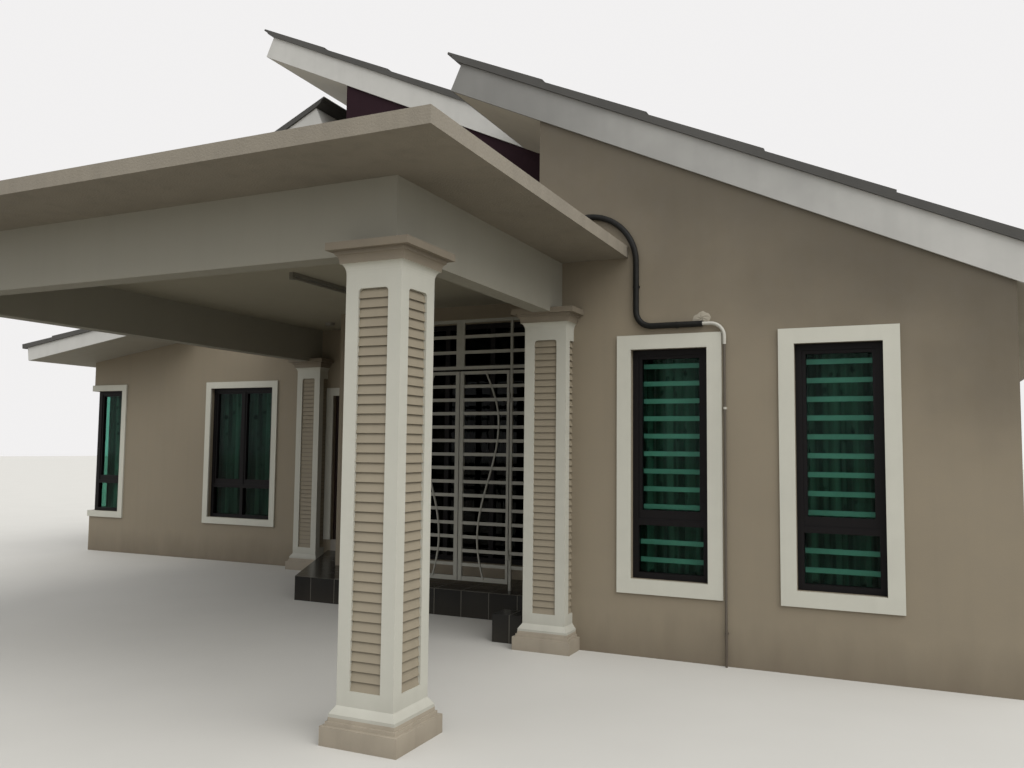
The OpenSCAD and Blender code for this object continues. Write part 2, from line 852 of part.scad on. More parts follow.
// The capital wraps a little way up round the beams it carries
module column_capitals() {
    color(trim_grey) difference() {
        union() {
            for (p = front_places) translate(p) square_moulding(capital_profile);
            for (p = pilaster_places) at_pilaster(p) square_moulding(capital_profile);
        }
        beams();
    }
}

plinth_profile = [[plinth_w / 2, 0], [plinth_w / 2, plinth_top - 2 * plinth_step_h],
                  [plinth_w / 2 - plinth_step_w, plinth_top - 2 * plinth_step_h],
                  [plinth_w / 2 - plinth_step_w, plinth_top - plinth_step_h],
                  [plinth_w / 2 - 1.5 * plinth_step_w, plinth_top - plinth_step_h],
                  [plinth_w / 2 - 1.5 * plinth_step_w, plinth_top]];

module column_plinths() {
    color(trim_grey) {
        for (p = front_places) translate(p) square_moulding(plinth_profile);
        for (p = pilaster_places) at_pilaster(p) square_moulding(plinth_profile);
    }
}

module beams() {
    front_beam();
    side_beams();
}

module front_beam() {
    color(white_paint) block([left_col_x - half_beam, col_y - half_beam, beam_bottom],
                             [column_x + half_beam, col_y + half_beam, slab_bottom]);
}

module side_beams() {
    color(white_paint) for (p = pilaster_places)
        block([p[0] - half_beam, col_y + half_beam, beam_bottom], [p[0] + half_beam, p[1], slab_bottom]);
}

module carport_slab() {
    color(trim_grey) translate([0, 0, slab_bottom]) linear_extrude(slab_t)
        polygon([[slab_left, slab_front], [slab_right, slab_front], [slab_right, wing_front],
                 [wing_x, wing_front], [wing_x, 0], [hall_x, 0], [hall_x, left_front],
                 [slab_left, left_front]]);
}

module carport_ceiling() {
    x0 = left_col_x + half_beam;
    x1 = column_x - half_beam;
    color(white_paint) translate([0, 0, slab_bottom - ceiling_t]) linear_extrude(ceiling_t)
        polygon([[x0, col_y + half_beam], [x1, col_y + half_beam], [x1, wing_front], [wing_x, wing_front],
                 [wing_x, 0], [hall_x, 0], [hall_x, left_front], [x0, left_front]]);
}

// A tube lamp on its housing, and a round lamp by the timber door, both under the ceiling
module ceiling_lamps() {
    x_mid = (left_col_x + column_x) / 2;
    z0 = slab_bottom - ceiling_t;
    z_tube = z0 - tube_lamp_h - tube_gap - tube_r;
    half = tube_lamp_l / 2;
    color("white") {
        translate([x_mid, -tube_lamp_y, 0]) {
            block([-tube_lamp_w / 2, -half, z0 - tube_lamp_h], [tube_lamp_w / 2, half, z0]);
            translate([0, half - eps, z_tube]) rotate([90, 0, 0])
                cylinder(r = tube_r, h = tube_lamp_l - 2 * eps, $fn = 32);
            for (y = [-half, half - holder_w])
                block([-holder_w / 2, y, z_tube - holder_w / 2], [holder_w / 2, y + holder_w, z0]);
        }
        translate([left_col_x + round_lamp_in, left_front - round_lamp_out, z0 - round_lamp_h])
            cylinder(r1 = round_lamp_r * 0.8, r2 = round_lamp_r, h = round_lamp_h, $fn = 48);
    }
}

// Quarter of a bent pipe in the wall's plane; sx and sz say which quarter of the ring is kept
module bend(bend_r, pipe_r, sx, sz) {
    far = bend_r + 2 * pipe_r;
    intersection() {
        rotate([90, 0, 0]) rotate_extrude($fn = 96) translate([bend_r, 0]) circle(pipe_r, $fn = 32);
        block([min(0, sx * far), -far, min(0, sz * far)], [max(0, sx * far), far, max(0, sz * far)]);
    }
}

// Straight pipe between two points [x, z], level or upright
module pipe(a, b, pipe_r) {
    length = norm(b - a);
    turn = b[0] > a[0] ? 90 : 0;
    translate([a[0], 0, a[1]]) rotate([0, turn, 0]) cylinder(r = pipe_r, h = length, $fn = 32);
}

// Clip round a pipe, with a foot on the wall
module pipe_clip(x, z, pipe_r, level) {
    translate([x, 0, z]) rotate([0, level ? 90 : 0, 0]) translate([0, 0, -clip_h / 2]) {
        cylinder(r = pipe_r + 2, h = clip_h, $fn = 32);
        block([-pipe_r - 2, 0, 0], [pipe_r + 2, pipe_out, clip_h]);
    }
}

// The hose stands on the slab, arches over its edge and runs over the window to a white elbow,
// from which a thin conduit goes down beside the trim
hose_x = slab_right + hose_off;
hose_z = window_top + trim_w + hose_over;
arch_z = slab_top + hose_up - hose_arch;
back_z = slab_top + hose_up - hose_back;
back_x = hose_x - hose_arch - hose_back;
conduit_x = wing_win_1 + window_w / 2 + trim_w + conduit_gap + conduit_r;
bend_x = conduit_x - elbow_bend;
hose_end = bend_x - elbow_run;
elbow_z = hose_z - elbow_bend;
module wall_hose() {
    color([0.15, 0.15, 0.15]) translate([0, wing_front - pipe_out, 0]) {
        pipe([back_x, slab_top + seat_gap], [back_x, back_z], hose_r);
        translate([hose_x - hose_arch, 0, back_z]) bend(hose_back, hose_r, -1, 1);
        translate([hose_x - hose_arch, 0, arch_z]) bend(hose_arch, hose_r, 1, 1);
        pipe([hose_x, hose_z + hose_bend], [hose_x, arch_z], hose_r);
        translate([hose_x + hose_bend, 0, hose_z + hose_bend]) bend(hose_bend, hose_r, -1, -1);
        pipe([hose_x + hose_bend, hose_z], [hose_end, hose_z], hose_r);
        pipe_clip(hose_x, (arch_z + hose_z + hose_bend) / 2, hose_r, false);
        pipe_clip((hose_x + hose_bend + hose_end) / 2, hose_z, hose_r, true);
    }
}

module wall_conduit() {
    color([0.6, 0.56, 0.5]) translate([0, wing_front - pipe_out, 0]) {
        pipe([hose_end, hose_z], [bend_x, hose_z], elbow_r);
        translate([bend_x, 0, elbow_z]) bend(elbow_bend, elbow_r, 1, 1);
        pipe([conduit_x, elbow_z - elbow_run], [conduit_x, elbow_z], elbow_r);
        pipe([conduit_x, seat_gap], [conduit_x, elbow_z], conduit_r);
        for (z = [clip_low, clip_high]) pipe_clip(conduit_x, z, conduit_r, false);
    }
}

// Frames of reference on the three slopes: x along the slope, z square to it
module on_main() {
    translate([right_x, 0, main_eave_z]) rotate([0, main_pitch, 0]) children();
}

module on_upper() {
    translate([upper_high, 0, upper_high_z]) rotate([0, -main_pitch, 0]) children();
}

module on_low() {
    translate([left_x, 0, low_eave_z]) rotate([0, -low_pitch, 0]) children();
}

s_wing = main_s(wing_high);
s_hall = main_s(hall_high);
s_low = main_s(main_low);
front_edge = wing_front - board_t;
hall_edge = -board_t;

// Roof covering between two depths: rounded under a thin lip at its high end, which is at x = s0
module covering(s0, s1, y0, y1) {
    round_w = cover_high_out - lip_out;
    round_h = cover_t - lip_t;
    lower_end = [for (k = [0:6]) [s0 - round_w * cos(15 * k), round_h * (1 - sin(15 * k))]];
    upright(concat([[s1, 0], [s1, cover_t], [s0 - cover_high_out, cover_t], [s0 - cover_high_out, round_h]],
                   lower_end), y0, y1);
}

// Row of cappings on a verge: each rises towards its lower end, where it laps over the next
module cappings(s0, s1, y0, y1) {
    start = s0 - cover_high_out;
    count = ceil((s1 - start) / cap_len);
    steps = [for (k = [0:count - 1]) let(a = start + k * cap_len, b = min(a + cap_len, s1))
        each [[a, cover_t + cap_t / 8], [b, cover_t + cap_t * (b - a) / cap_len]]];
    upright(concat([[start, cover_t - lip_t / 2]], steps, [[s1, cover_t - lip_t / 2]]), y0, y1);
}

module main_roof_covering() {
    front_verge = front_edge - cover_out;
    hall_verge = hall_edge - cover_out;
    rear_verge = rear_edge + cover_out;
    s_end = s_low + cover_out;
    color(roof_grey) on_main() translate([0, 0, board_d]) {
        covering(s_wing, s_end, front_verge, eps);
        covering(s_hall, s_wing + eps, hall_verge, eps);
        covering(s_hall, s_end, 0, rear_verge);
        cappings(s_wing, s_end, front_verge, front_verge + cap_w);
        cappings(s_hall, s_wing, hall_verge, hall_verge + cap_w);
        cappings(s_hall, s_end, rear_verge - cap_w, rear_verge);
    }
}

// Six straight boards close the roof's edges
module main_roof_boards() {
    color(white_paint) on_main() {
        block([s_wing, front_edge, 0], [s_low, wing_front, board_d]);
        block([s_wing, wing_front + board_gap, 0], [s_wing + board_t, 0, board_d]);
        block([s_hall, hall_edge, 0], [s_wing - board_gap, 0, board_d]);
        block([s_hall, board_gap, 0], [s_hall + board_t, rear_edge - board_t, board_d]);
        block([s_hall, rear_edge - board_t + board_gap, 0], [s_low, rear_edge, board_d]);
        block([s_low - board_t, wing_front + board_gap, 0], [s_low, rear_edge - board_t, board_d]);
    }
}

// Soffit boards between the walls and the edge boards
module main_roof_soffits() {
    inset = board_t + seat_gap;
    y_front = wing_front + seat_gap;
    y_rear = rear_edge - inset;
    high = 3 * depth;
    color(white_paint) {
        intersection() {
            on_main() block([s_wing + inset, y_front, 0], [0, -seat_gap, soffit_t]);
            block([wing_high - high, wing_front, 0], [wing_x - seat_gap, 0, high]);
        }
        intersection() {
            on_main() block([s_hall + inset, seat_gap, 0], [0, back_y, soffit_t]);
            block([hall_high - high, 0, 0], [hall_x - seat_gap, back_y, high]);
        }
        on_main() block([s_hall + inset, back_y + board_gap, 0], [s_low - inset, y_rear, soffit_t]);
        intersection() {
            on_main() block([s_wing, y_front, 0], [s_low - inset, back_y, soffit_t]);
            block([right_x + seat_gap, wing_front, 0], [right_x + high, back_y, high]);
        }
    }
}

s_upper = (upper_low - upper_high) / main_cos;
s_low_left = -low_eave_out / low_cos;
module left_roof_coverings() {
    s_end = (upper_low_x - left_x) / low_cos;
    high = 3 * depth;
    y0 = left_verge - cover_out;
    y1 = rear_edge + cover_out;
    color(roof_grey) on_upper() translate([0, 0, board_d]) mirror([1, 0, 0]) {
        covering(0, cover_out - s_upper, y0, y1);
        for (y = [y0, y1 - cap_w]) cappings(0, cover_out - s_upper, y, y + cap_w);
    }
    color(roof_grey) intersection() {
        on_low() translate([0, 0, low_board_d]) mirror([1, 0, 0]) {
            covering(-2 * s_end, low_cover_out - s_low_left, y0, y1);
            for (y = [y0, y1 - cap_w]) cappings(-s_end, low_cover_out - s_low_left, y, y + cap_w);
        }
        block([left_x - high, -high, 0], [upper_low_x - seat_gap, high, high]);
    }
}

module left_roof_boards() {
    y0 = left_verge;
    y1 = left_verge + board_t;
    y2 = rear_edge - board_t;
    high = 3 * depth;
    color(white_paint) {
        on_upper() {
            block([s_upper, y0, 0], [0, y1, board_d]);
            block([s_upper, y2, 0], [0, rear_edge, board_d]);
            block([-board_t, y1 + board_gap, 0], [0, y2 - board_gap, board_d]);
            block([s_upper, y1 + board_gap, 0], [s_upper + board_t, y2 - board_gap, board_d]);
        }
        intersection() {
            on_low() for (y = [y0, y2])
                block([s_low_left, y, 0], [left_w, y + board_t, low_board_d]);
            block([left_x - high, -high, 0], [upper_low_x, high, high]);
        }
        on_low() block([s_low_left, y1 + board_gap, 0], [s_low_left + board_t, y2 - board_gap, low_board_d]);
    }
}

module left_roof_soffits() {
    inset = board_t + seat_gap;
    y1 = left_verge + inset;
    y2 = rear_edge - inset;
    y_strips = [[y1, left_front - seat_gap], [back_y + seat_gap, y2]];
    y_side = [left_front + board_gap, back_y - board_gap];
    high = 3 * depth;
    color(white_paint) {
        for (y = y_strips)
            on_upper() block([s_upper + inset, y[0], 0], [-inset, y[1], soffit_t]);
        intersection() {
            on_upper() block([s_upper, y_side[0], 0], [-inset, y_side[1], soffit_t]);
            block([upper_wall_x + seat_gap, 0, 0], [high, high, high]);
        }
        intersection() {
            on_upper() block([s_upper + inset, y_side[0], 0], [0, y_side[1], soffit_t]);
            block([left_x - high, 0, 0], [upper_low_x - seat_gap, high, high]);
        }
        intersection() {
            on_low() for (y = y_strips)
                block([s_low_left + inset, y[0], 0], [left_w, y[1], soffit_t]);
            block([left_x - high, -high, 0], [upper_low_x, high, high]);
        }
        intersection() {
            on_low() block([s_low_left + inset, y_side[0], 0], [left_w, y_side[1], soffit_t]);
            block([left_x - high, 0, 0], [left_x - seat_gap, high, high]);
        }
    }
}

// Grille
module grille_post(x, z0, z1) {
    block([x - post_w / 2, -grille_y - post_w / 2, z0], [x + post_w / 2, -grille_y + post_w / 2, z1]);
}

module grille_bar(x0, x1, z) {
    block([x0, -grille_y - bar_d / 2, z - bar_h / 2], [x1, -grille_y + bar_d / 2, z + bar_h / 2]);
}

// Plate that ties a hinge barrel to the stile or post beside it
module barrel_plate(side, z0, z1) {
    reach = gate_axis_in;
    translate([side > 0 ? 0 : -reach, 0, z0]) cube([reach, barrel_r, z1 - z0]);
}

// Lower half of a lift-off hinge: a barrel with a pin standing up out of it; side is the post's side
module hinge_pin_half(side, z) {
    translate([0, 0, z - barrel_h]) cylinder(r = barrel_r, h = barrel_h, $fn = 40);
    translate([0, 0, z - eps]) cylinder(r = pin_r, h = barrel_h - 4 + eps, $fn = 40);
    barrel_plate(side, z - barrel_h, z);
}

// Upper half: a bored barrel that turns on the pin and stands on the lower one
module hinge_sleeve_half(side, z) {
    difference() {
        union() {
            translate([0, 0, z + pin_gap]) cylinder(r = barrel_r, h = barrel_h, $fn = 40);
            barrel_plate(side, z + pin_gap, z + pin_gap + barrel_h);
        }
        translate([0, 0, z]) cylinder(r = pin_r + pin_gap, h = barrel_h - 2, $fn = 40);
    }
}

// A fixed panel beside the gates, between a gate post and its outer post; side is 1 on the right
module side_panel(side, x_gate, x_outer) {
    color(white_paint) {
        for (x = [x_gate, x_outer]) grille_post(x, platform_top, grille_top + bar_h / 2);
        for (z = concat(head_heights, [head_rail], bar_heights))
            grille_bar(min(x_gate, x_outer), max(x_gate, x_outer), z);
        for (z = gate_hinges)
            translate([x_gate - side * gate_axis_in, gate_axis_y, 0]) hinge_pin_half(side, z);
    }
}

module grille_right_panel() {
    side_panel(1, post_right, wing_x - post_w / 2);
}

module grille_left_panel() {
    side_panel(-1, post_left, panel_left);
}

// The bars over the gates, welded between the gate posts
module grille_head() {
    color(white_paint) {
        for (z = head_heights) grille_bar(post_left + post_w / 2, post_right - post_w / 2, z);
        grille_bar(post_left + post_w / 2, post_right - post_w / 2, head_rail);
        middle_w = meet_w + gate_gap / 2;
        block([gate_mid - middle_w, -grille_y - bar_d / 2, head_rail],
              [gate_mid + middle_w, -grille_y + bar_d / 2, grille_top]);
    }
}

// The short panel that closes the porch's left side, back to the hall wall
module grille_return() {
    y0 = -grille_y + post_w / 2;
    color(white_paint) {
        for (z = concat(head_heights, bar_heights))
            block([panel_left - bar_d / 2, y0, z - bar_h / 2],
                  [panel_left + bar_d / 2, -post_w, z + bar_h / 2]);
        block([panel_left - post_w / 2, -post_w, platform_top],
              [panel_left + post_w / 2, 0, grille_top + bar_h / 2]);
    }
}

// Place of the curved rod as a share of the leaf from the meeting stile; u runs from top to bottom.
// It swells out from its top, swings back in one smooth wave and turns out again at the foot.
function rod_share(u) =
    u < rod_wide_at ? rod_top + (rod_wide - rod_top) * sin(90 * u / rod_wide_at)
    : u < rod_near_at ? rod_wide + (rod_near - rod_wide)
                        * (1 - cos(180 * (u - rod_wide_at) / (rod_near_at - rod_wide_at))) / 2
    : rod_near + (rod_foot - rod_near) * (1 - cos(90 * (u - rod_near_at) / (1 - rod_near_at)));

// Points along the rod, its middle line at [x, z] and one side of it at a distance off that line
function rod_mid(u, x0, w, z_low, z_high) = [x0 + w * rod_share(u), z_high - (z_high - z_low) * u];
function rod_off(u, off, x0, w, z_low, z_high) =
    let (a = rod_mid(max(0, u - 0.005), x0, w, z_low, z_high),
         b = rod_mid(min(1, u + 0.005), x0, w, z_low, z_high),
         d = (b - a) / norm(b - a))
    rod_mid(u, x0, w, z_low, z_high) + off * [-d[1], d[0]];

// One gate leaf; side 1 hangs on the right post and carries the lock
module gate_leaf(side) {
    x_post = gate_span / 2 - post_w / 2 - gate_gap;
    x_mid = gate_gap / 2;
    z0 = gate_bottom - bottom_rail_h / 2;
    z1 = gate_top + bar_h / 2;
    y = -grille_y;
    x_rod = x_mid + meet_w;
    w_rod = x_post - post_w - x_rod;
    rod_steps = 40;
    edge = [for (k = [0:rod_steps]) rod_off(k / rod_steps, rod_w / 2, x_rod, w_rod, gate_bottom, gate_top)];
    back = [for (k = [rod_steps:-1:0])
        rod_off(k / rod_steps, -rod_w / 2, x_rod, w_rod, gate_bottom, gate_top)];
    translate([gate_mid, 0, 0]) mirror([side < 0 ? 1 : 0, 0, 0]) {
        block([x_mid, y - post_w / 2, z0], [x_mid + meet_w, y + post_w / 2, z1]);
        block([x_post - post_w, y - post_w / 2, z0], [x_post, y + post_w / 2, z1]);
        block([x_mid, y - bar_d / 2, z0], [x_post, y + bar_d / 2, z0 + bottom_rail_h]);
        for (k = [0:gate_bars])
            block([x_mid, y - bar_d / 2, bar_heights[k] - bar_h / 2],
                  [x_post, y + bar_d / 2, bar_heights[k] + bar_h / 2]);
        upright(concat(edge, back), y - bar_d, y);
        translate([gate_span / 2 - gate_axis_in, gate_axis_y, 0])
            for (z = gate_hinges) hinge_sleeve_half(-1, z);
        if (side > 0) lock(x_mid + meet_w / 2);
    }
}

// Keyhole plate in front of the meeting stile and lock case behind it
module lock(x) {
    case_h = 4 * meet_w;
    translate([x, gate_front + eps, lock_z]) rotate([90, 0, 0]) cylinder(r = lock_r, h = 4 + eps, $fn = 32);
    translate([x - meet_w / 2, -grille_y + post_w / 2 - eps, lock_z - case_h / 2])
        cube([meet_w, post_w / 2, case_h]);
}

module gate_leaf_right() {
    color(white_paint) gate_leaf(1);
}

module gate_leaf_left() {
    color(white_paint) gate_leaf(-1);
}

// Glazed entrance: four tall leaves under four top lights, fixed in the wall
entry_bays = 4;
module entry_frame() {
    y0 = frame_set;
    y1 = frame_set + frame_d;
    pitch = (entry_w - entry_bar) / entry_bays;
    color(dark_metal) {
        for (k = [0:entry_bays])
            translate([entry_left + k * pitch, 0, 0])
                block([0, y0, floor_top], [entry_bar, y1, entry_top]);
        for (z = [floor_top, floor_top + entry_leaf_h, entry_top - entry_bar])
            block([entry_left, y0, z], [entry_right, y1, z + entry_bar]);
    }
}

module entry_glass() {
    pitch = (entry_w - entry_bar) / entry_bays;
    z_mid = floor_top + entry_leaf_h;
    color(green_glass) for (k = [0:entry_bays - 1]) {
        x0 = entry_left + k * pitch + entry_bar;
        x1 = entry_left + (k + 1) * pitch;
        pane(x0, x1, floor_top + entry_bar, z_mid);
        pane(x0, x1, z_mid + entry_bar, entry_top - entry_bar);
    }
}

// Timber door
module door_surround() {
    z1 = door_top + surround_w;
    color(white_paint) {
        block([door_left - surround_w, left_front - trim_out, floor_top],
              [door_left, left_front, z1]);
        block([door_right, left_front - trim_out, floor_top], [door_right + surround_w, left_front, z1]);
        block([door_left, left_front - trim_out, door_top], [door_right, left_front, z1]);
    }
}

module door_jamb() {
    y1 = jamb_y + jamb_d;
    color([0.20, 0.10, 0.08]) {
        block([door_left, jamb_y, floor_top], [door_left + jamb_t, y1, door_top]);
        block([door_right - jamb_t, jamb_y, floor_top], [door_right, y1, door_top]);
        block([door_left, jamb_y, door_top - jamb_t], [door_right, y1, door_top]);
        for (z = door_hinges)
            translate([door_axis_x, door_axis_y, 0]) mirror([0, 1, 0]) hinge_pin_half(-1, z);
    }
}

// Grooves round two columns of three raised panels, cut into one face of the leaf
door_rows = 3;
module door_grooves(y) {
    panel_w = (leaf_right - leaf_left - 3 * stile_w) / 2;
    panel_h = (leaf_top - leaf_bottom - (door_rows + 1) * stile_w) / door_rows;
    for (i = [0:1], k = [0:door_rows - 1])
        translate([leaf_left + stile_w + i * (panel_w + stile_w) + panel_w / 2, 0,
                   leaf_bottom + stile_w + k * (panel_h + stile_w)])
            ring(panel_w / 2, 0, panel_h, groove_w, y - panel_cut, y + panel_cut);
}

module door_leaf() {
    color([0.30, 0.12, 0.09]) {
        difference() {
            block([leaf_left, leaf_y, leaf_bottom], [leaf_right, leaf_y + door_t, leaf_top]);
            for (y = [leaf_y, leaf_y + door_t]) door_grooves(y);
        }
        for (z = door_hinges)
            translate([door_axis_x, door_axis_y, 0]) mirror([0, 1, 0]) hinge_sleeve_half(1, z);
    }
}

module door_handle() {
    x = leaf_right - handle_in;
    z = floor_top + handle_up;
    color("silver") for (s = [-1, 1]) {
        y_face = s < 0 ? leaf_y : leaf_y + door_t;
        translate([x, y_face, z]) rotate([s < 0 ? 90 : -90, 0, 0]) {
            cylinder(r = 24, h = 6, $fn = 40);
            cylinder(r = 8, h = 45, $fn = 32);
            translate([-handle_len, -9, 36]) cube([handle_len + 8, 18, 9]);
        }
    }
}

right_front_wall();
right_side_wall();
right_return_wall();
hall_front_wall();
clerestory_walls();
left_front_wall();
door_head_wall();
left_side_wall();
rear_wall();
upper_left_walls();
left_flat_roof();
ground_floor();
porch_platform();
front_window_trims();
rear_window_trims();
front_window_frames();
rear_window_frames();
front_window_glass();
rear_window_glass();
front_columns();
wall_pilasters();
column_siding();
column_capitals();
column_plinths();
front_beam();
side_beams();
carport_slab();
carport_ceiling();
ceiling_lamps();
wall_hose();
wall_conduit();
main_roof_covering();
main_roof_boards();
main_roof_soffits();
left_roof_coverings();
left_roof_boards();
left_roof_soffits();
grille_right_panel();
grille_left_panel();
grille_head();
grille_return();
gate_leaf_right();
gate_leaf_left();
entry_frame();
entry_glass();
door_surround();
door_jamb();
door_leaf();
door_handle();
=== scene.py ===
# %% [markdown]
# # A bungalow with a carport
#
# The walls, roofs, columns, windows, grille and door of this house come from its CAD model as solids
# with their real sizes. Here they get the finishes of the real house: rolled wall paint, tiles, boards,
# tinted glass and painted steel. The small things that come last on a building site, such as window
# bars, curtains and roof tiles, are made here as new surfaces.
#
# The first cell loads the CAD solids. They stay where they are, and the new pieces are placed in the
# same frame, in metres, with the same sizes.

import json
from math import cos, radians, sin

import bmesh
import bpy
import numpy as np
from mathutils import Matrix


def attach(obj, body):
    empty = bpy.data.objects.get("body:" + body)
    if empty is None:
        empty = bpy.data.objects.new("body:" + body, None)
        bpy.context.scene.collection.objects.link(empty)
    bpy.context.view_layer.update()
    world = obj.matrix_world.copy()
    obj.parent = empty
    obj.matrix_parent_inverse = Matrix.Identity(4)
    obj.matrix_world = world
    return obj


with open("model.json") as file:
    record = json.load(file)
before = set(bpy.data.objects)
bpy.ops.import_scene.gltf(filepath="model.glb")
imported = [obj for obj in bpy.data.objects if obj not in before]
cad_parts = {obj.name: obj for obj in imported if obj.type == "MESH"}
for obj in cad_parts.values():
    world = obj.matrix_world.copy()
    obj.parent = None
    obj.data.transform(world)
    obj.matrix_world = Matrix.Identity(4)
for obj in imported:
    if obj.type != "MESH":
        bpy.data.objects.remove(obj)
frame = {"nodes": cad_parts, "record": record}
nodes = frame["nodes"]
slot_of = {part["node"]: part["material_slot"] for part in frame["record"]["subparts"]}
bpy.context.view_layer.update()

# %% [markdown]
# ## The camera
#
# A house is mostly seen from standing height. The camera stands in front of the right end of the
# carport, 1.65 m above the ground, turned to the left and tipped up a little, so the roof edges fan
# out above. Its three turns are written as angles, and the matrix is put together from them, because
# a turn of the head in degrees is easier to check than nine numbers.

# %% Camera


def camera_matrix(place, turn_left, tip_up, roll):
    """Place and angles in degrees to a matrix: look along +Y, turn left, tip up, then roll."""
    yaw, pitch, bank = (radians(a) for a in (turn_left, tip_up, roll))
    ahead = np.array([-sin(yaw), cos(yaw), 0.0])
    right = np.array([cos(yaw), sin(yaw), 0.0])
    up = np.array([0.0, 0.0, 1.0])
    look = ahead * cos(pitch) + up * sin(pitch)
    over = up * cos(pitch) - ahead * sin(pitch)
    side = right * cos(bank) + over * sin(bank)
    top = over * cos(bank) - right * sin(bank)
    turned = np.eye(4)
    turned[:3, 0], turned[:3, 1], turned[:3, 2], turned[:3, 3] = side, top, -look, place
    return Matrix(turned.tolist())


focal_px, picture_px, sensor_mm = 868, 1024, 36.0
scene = bpy.context.scene
eye = bpy.data.objects.new("camera", bpy.data.cameras.new("camera"))
scene.collection.objects.link(eye)
eye.data.sensor_width = sensor_mm
eye.data.lens = focal_px / picture_px * sensor_mm
eye.data.clip_end = 500
eye.matrix_world = camera_matrix((5.0, -8.48, 1.65), 24.65, 4.17, 0.6)
scene.camera = eye
scene.view_settings.view_transform = "Standard"
print("camera lens %.2f mm" % eye.data.lens)

# %% [markdown]
# ## Daylight
#
# The sky is overcast: light comes from everywhere, a little more from the right. A plain world colour
# gives that, and one very wide sun tells the right-hand faces from the front ones. The camera, the
# panes and everything shiny see a nearly white sky, and that sky doesn't light the house.

# %% World and sun
world = bpy.data.worlds.new("overcast")
scene.world = world
world.use_nodes = True
tree = world.node_tree
tree.nodes.clear()
rays = tree.nodes.new("ShaderNodeLightPath").outputs


def sky(colour, strength=1.0):
    """One plain background of a colour and a strength."""
    plain = tree.nodes.new("ShaderNodeBackground")
    plain.inputs["Color"].default_value = (*colour, 1)
    plain.inputs["Strength"].default_value = strength
    return plain.outputs[0]


def either(a, b):
    """One where either of two kinds of ray is true."""
    node = tree.nodes.new("ShaderNodeMath")
    node.operation = "MAXIMUM"
    tree.links.new(a, node.inputs[0])
    tree.links.new(b, node.inputs[1])
    return node.outputs[0]


seen = either(either(rays["Is Camera Ray"], rays["Is Glossy Ray"]), rays["Is Transmission Ray"])
lighting_sky = sky((0.97, 0.98, 1.0), 1.05)
visible_sky = sky((0.885, 0.875, 0.875))
mix = tree.nodes.new("ShaderNodeMixShader")
for socket, source in zip(mix.inputs, (seen, lighting_sky, visible_sky)):
    tree.links.new(source, socket)
tree.links.new(mix.outputs[0], tree.nodes.new("ShaderNodeOutputWorld").inputs["Surface"])

sun_data = bpy.data.lights.new("soft_sun", "SUN")
sun_data.energy = 2.0
sun_data.angle = radians(60)
sun_data.color = (1.0, 0.985, 0.96)
sun = bpy.data.objects.new("soft_sun", sun_data)
sun.matrix_world = Matrix.Rotation(radians(60), 4, "Z") @ Matrix.Rotation(radians(42), 4, "X")
scene.collection.objects.link(sun)
print("sky and sun are on")

# %% [markdown]
# ## Surfaces from numbers
#
# Every new piece is a surface: a grid of points worked out as whole numpy arrays and handed to the
# mesh at once. A few helpers cover the house: one makes a mesh, one joins the points of a grid with
# quads, one gives the points a UV map, one turns the faces of closed shells outwards, one makes many
# boxes with eased edges in one go, one carries a ring along a line, and one joins several shapes.

# %% Mesh helpers


def mesh_piece(name, points, faces, slot=None, body="house"):
    """A new object from an array of points and lists of corner numbers, riding on a body."""
    mesh = bpy.data.meshes.new(name)
    mesh.from_pydata(np.asarray(points, float).tolist(), [], [list(map(int, f)) for f in faces])
    mesh.validate()
    mesh.update()
    piece = bpy.data.objects.new(name, mesh)
    scene.collection.objects.link(piece)
    if body:
        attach(piece, body)
    return piece


def grid_faces(rows, columns, wrap=False):
    """Corner numbers of the quads between neighbours on a grid; wrap joins the last column to the first."""
    r = np.arange(rows - 1)[:, None] * columns
    c = np.arange(columns if wrap else columns - 1)[None, :]
    d = (c + 1) % columns
    return np.stack([r + c, r + d, r + columns + d, r + columns + c], -1).reshape(-1, 4)


def lay_uv(piece, grid):
    """A UV map from one pair of numbers for each point."""
    corners = np.empty(len(piece.data.loops), np.int32)
    piece.data.loops.foreach_get("vertex_index", corners)
    pairs = np.asarray(grid, np.float32).reshape(-1, 2)[corners]
    piece.data.uv_layers.new(name="surface").data.foreach_set("uv", pairs.ravel())


def face_outwards(piece):
    """Turns all faces of closed shells outwards."""
    shell = bmesh.new()
    shell.from_mesh(piece.data)
    bmesh.ops.recalc_face_normals(shell, faces=shell.faces)
    shell.to_mesh(piece.data)
    shell.free()
    return piece


print("mesh helpers ready")

# %% Boxes with eased edges


def eased_boxes(lows, highs, ease):
    """Many boxes at once: each corner is split into three points, so all edges get a small chamfer."""
    lows, highs = np.asarray(lows, float), np.asarray(highs, float)
    signs = np.array([[x, y, z] for x in (0, 1) for y in (0, 1) for z in (0, 1)], float)
    corners = lows[:, None] + signs[None] * (highs - lows)[:, None]
    inward = (1 - 2 * signs) * ease
    moves = np.stack([inward * (np.arange(3) != axis) for axis in range(3)], 1)
    points = (corners[:, :, None] + moves[None]).reshape(-1, 3)
    sides = [(0, (0, 1, 3, 2)), (0, (4, 6, 7, 5)), (1, (0, 4, 5, 1)), (1, (2, 3, 7, 6)),
             (2, (0, 2, 6, 4)), (2, (1, 5, 7, 3))]
    faces = [[c * 3 + axis for c in loop] for axis, loop in sides]
    edges = [((0, 2, 4, 6), 1, (0, 1)), ((0, 1, 4, 5), 2, (0, 2)), ((0, 1, 2, 3), 4, (1, 2))]
    for firsts, step, (a, b) in edges:
        faces += [[p * 3 + a, (p + step) * 3 + a, (p + step) * 3 + b, p * 3 + b] for p in firsts]
    faces += [[c * 3, c * 3 + 1, c * 3 + 2] for c in range(8)]
    per_box = 24
    every = [[n + per_box * k for n in face] for k in range(len(lows)) for face in faces]
    return points, every


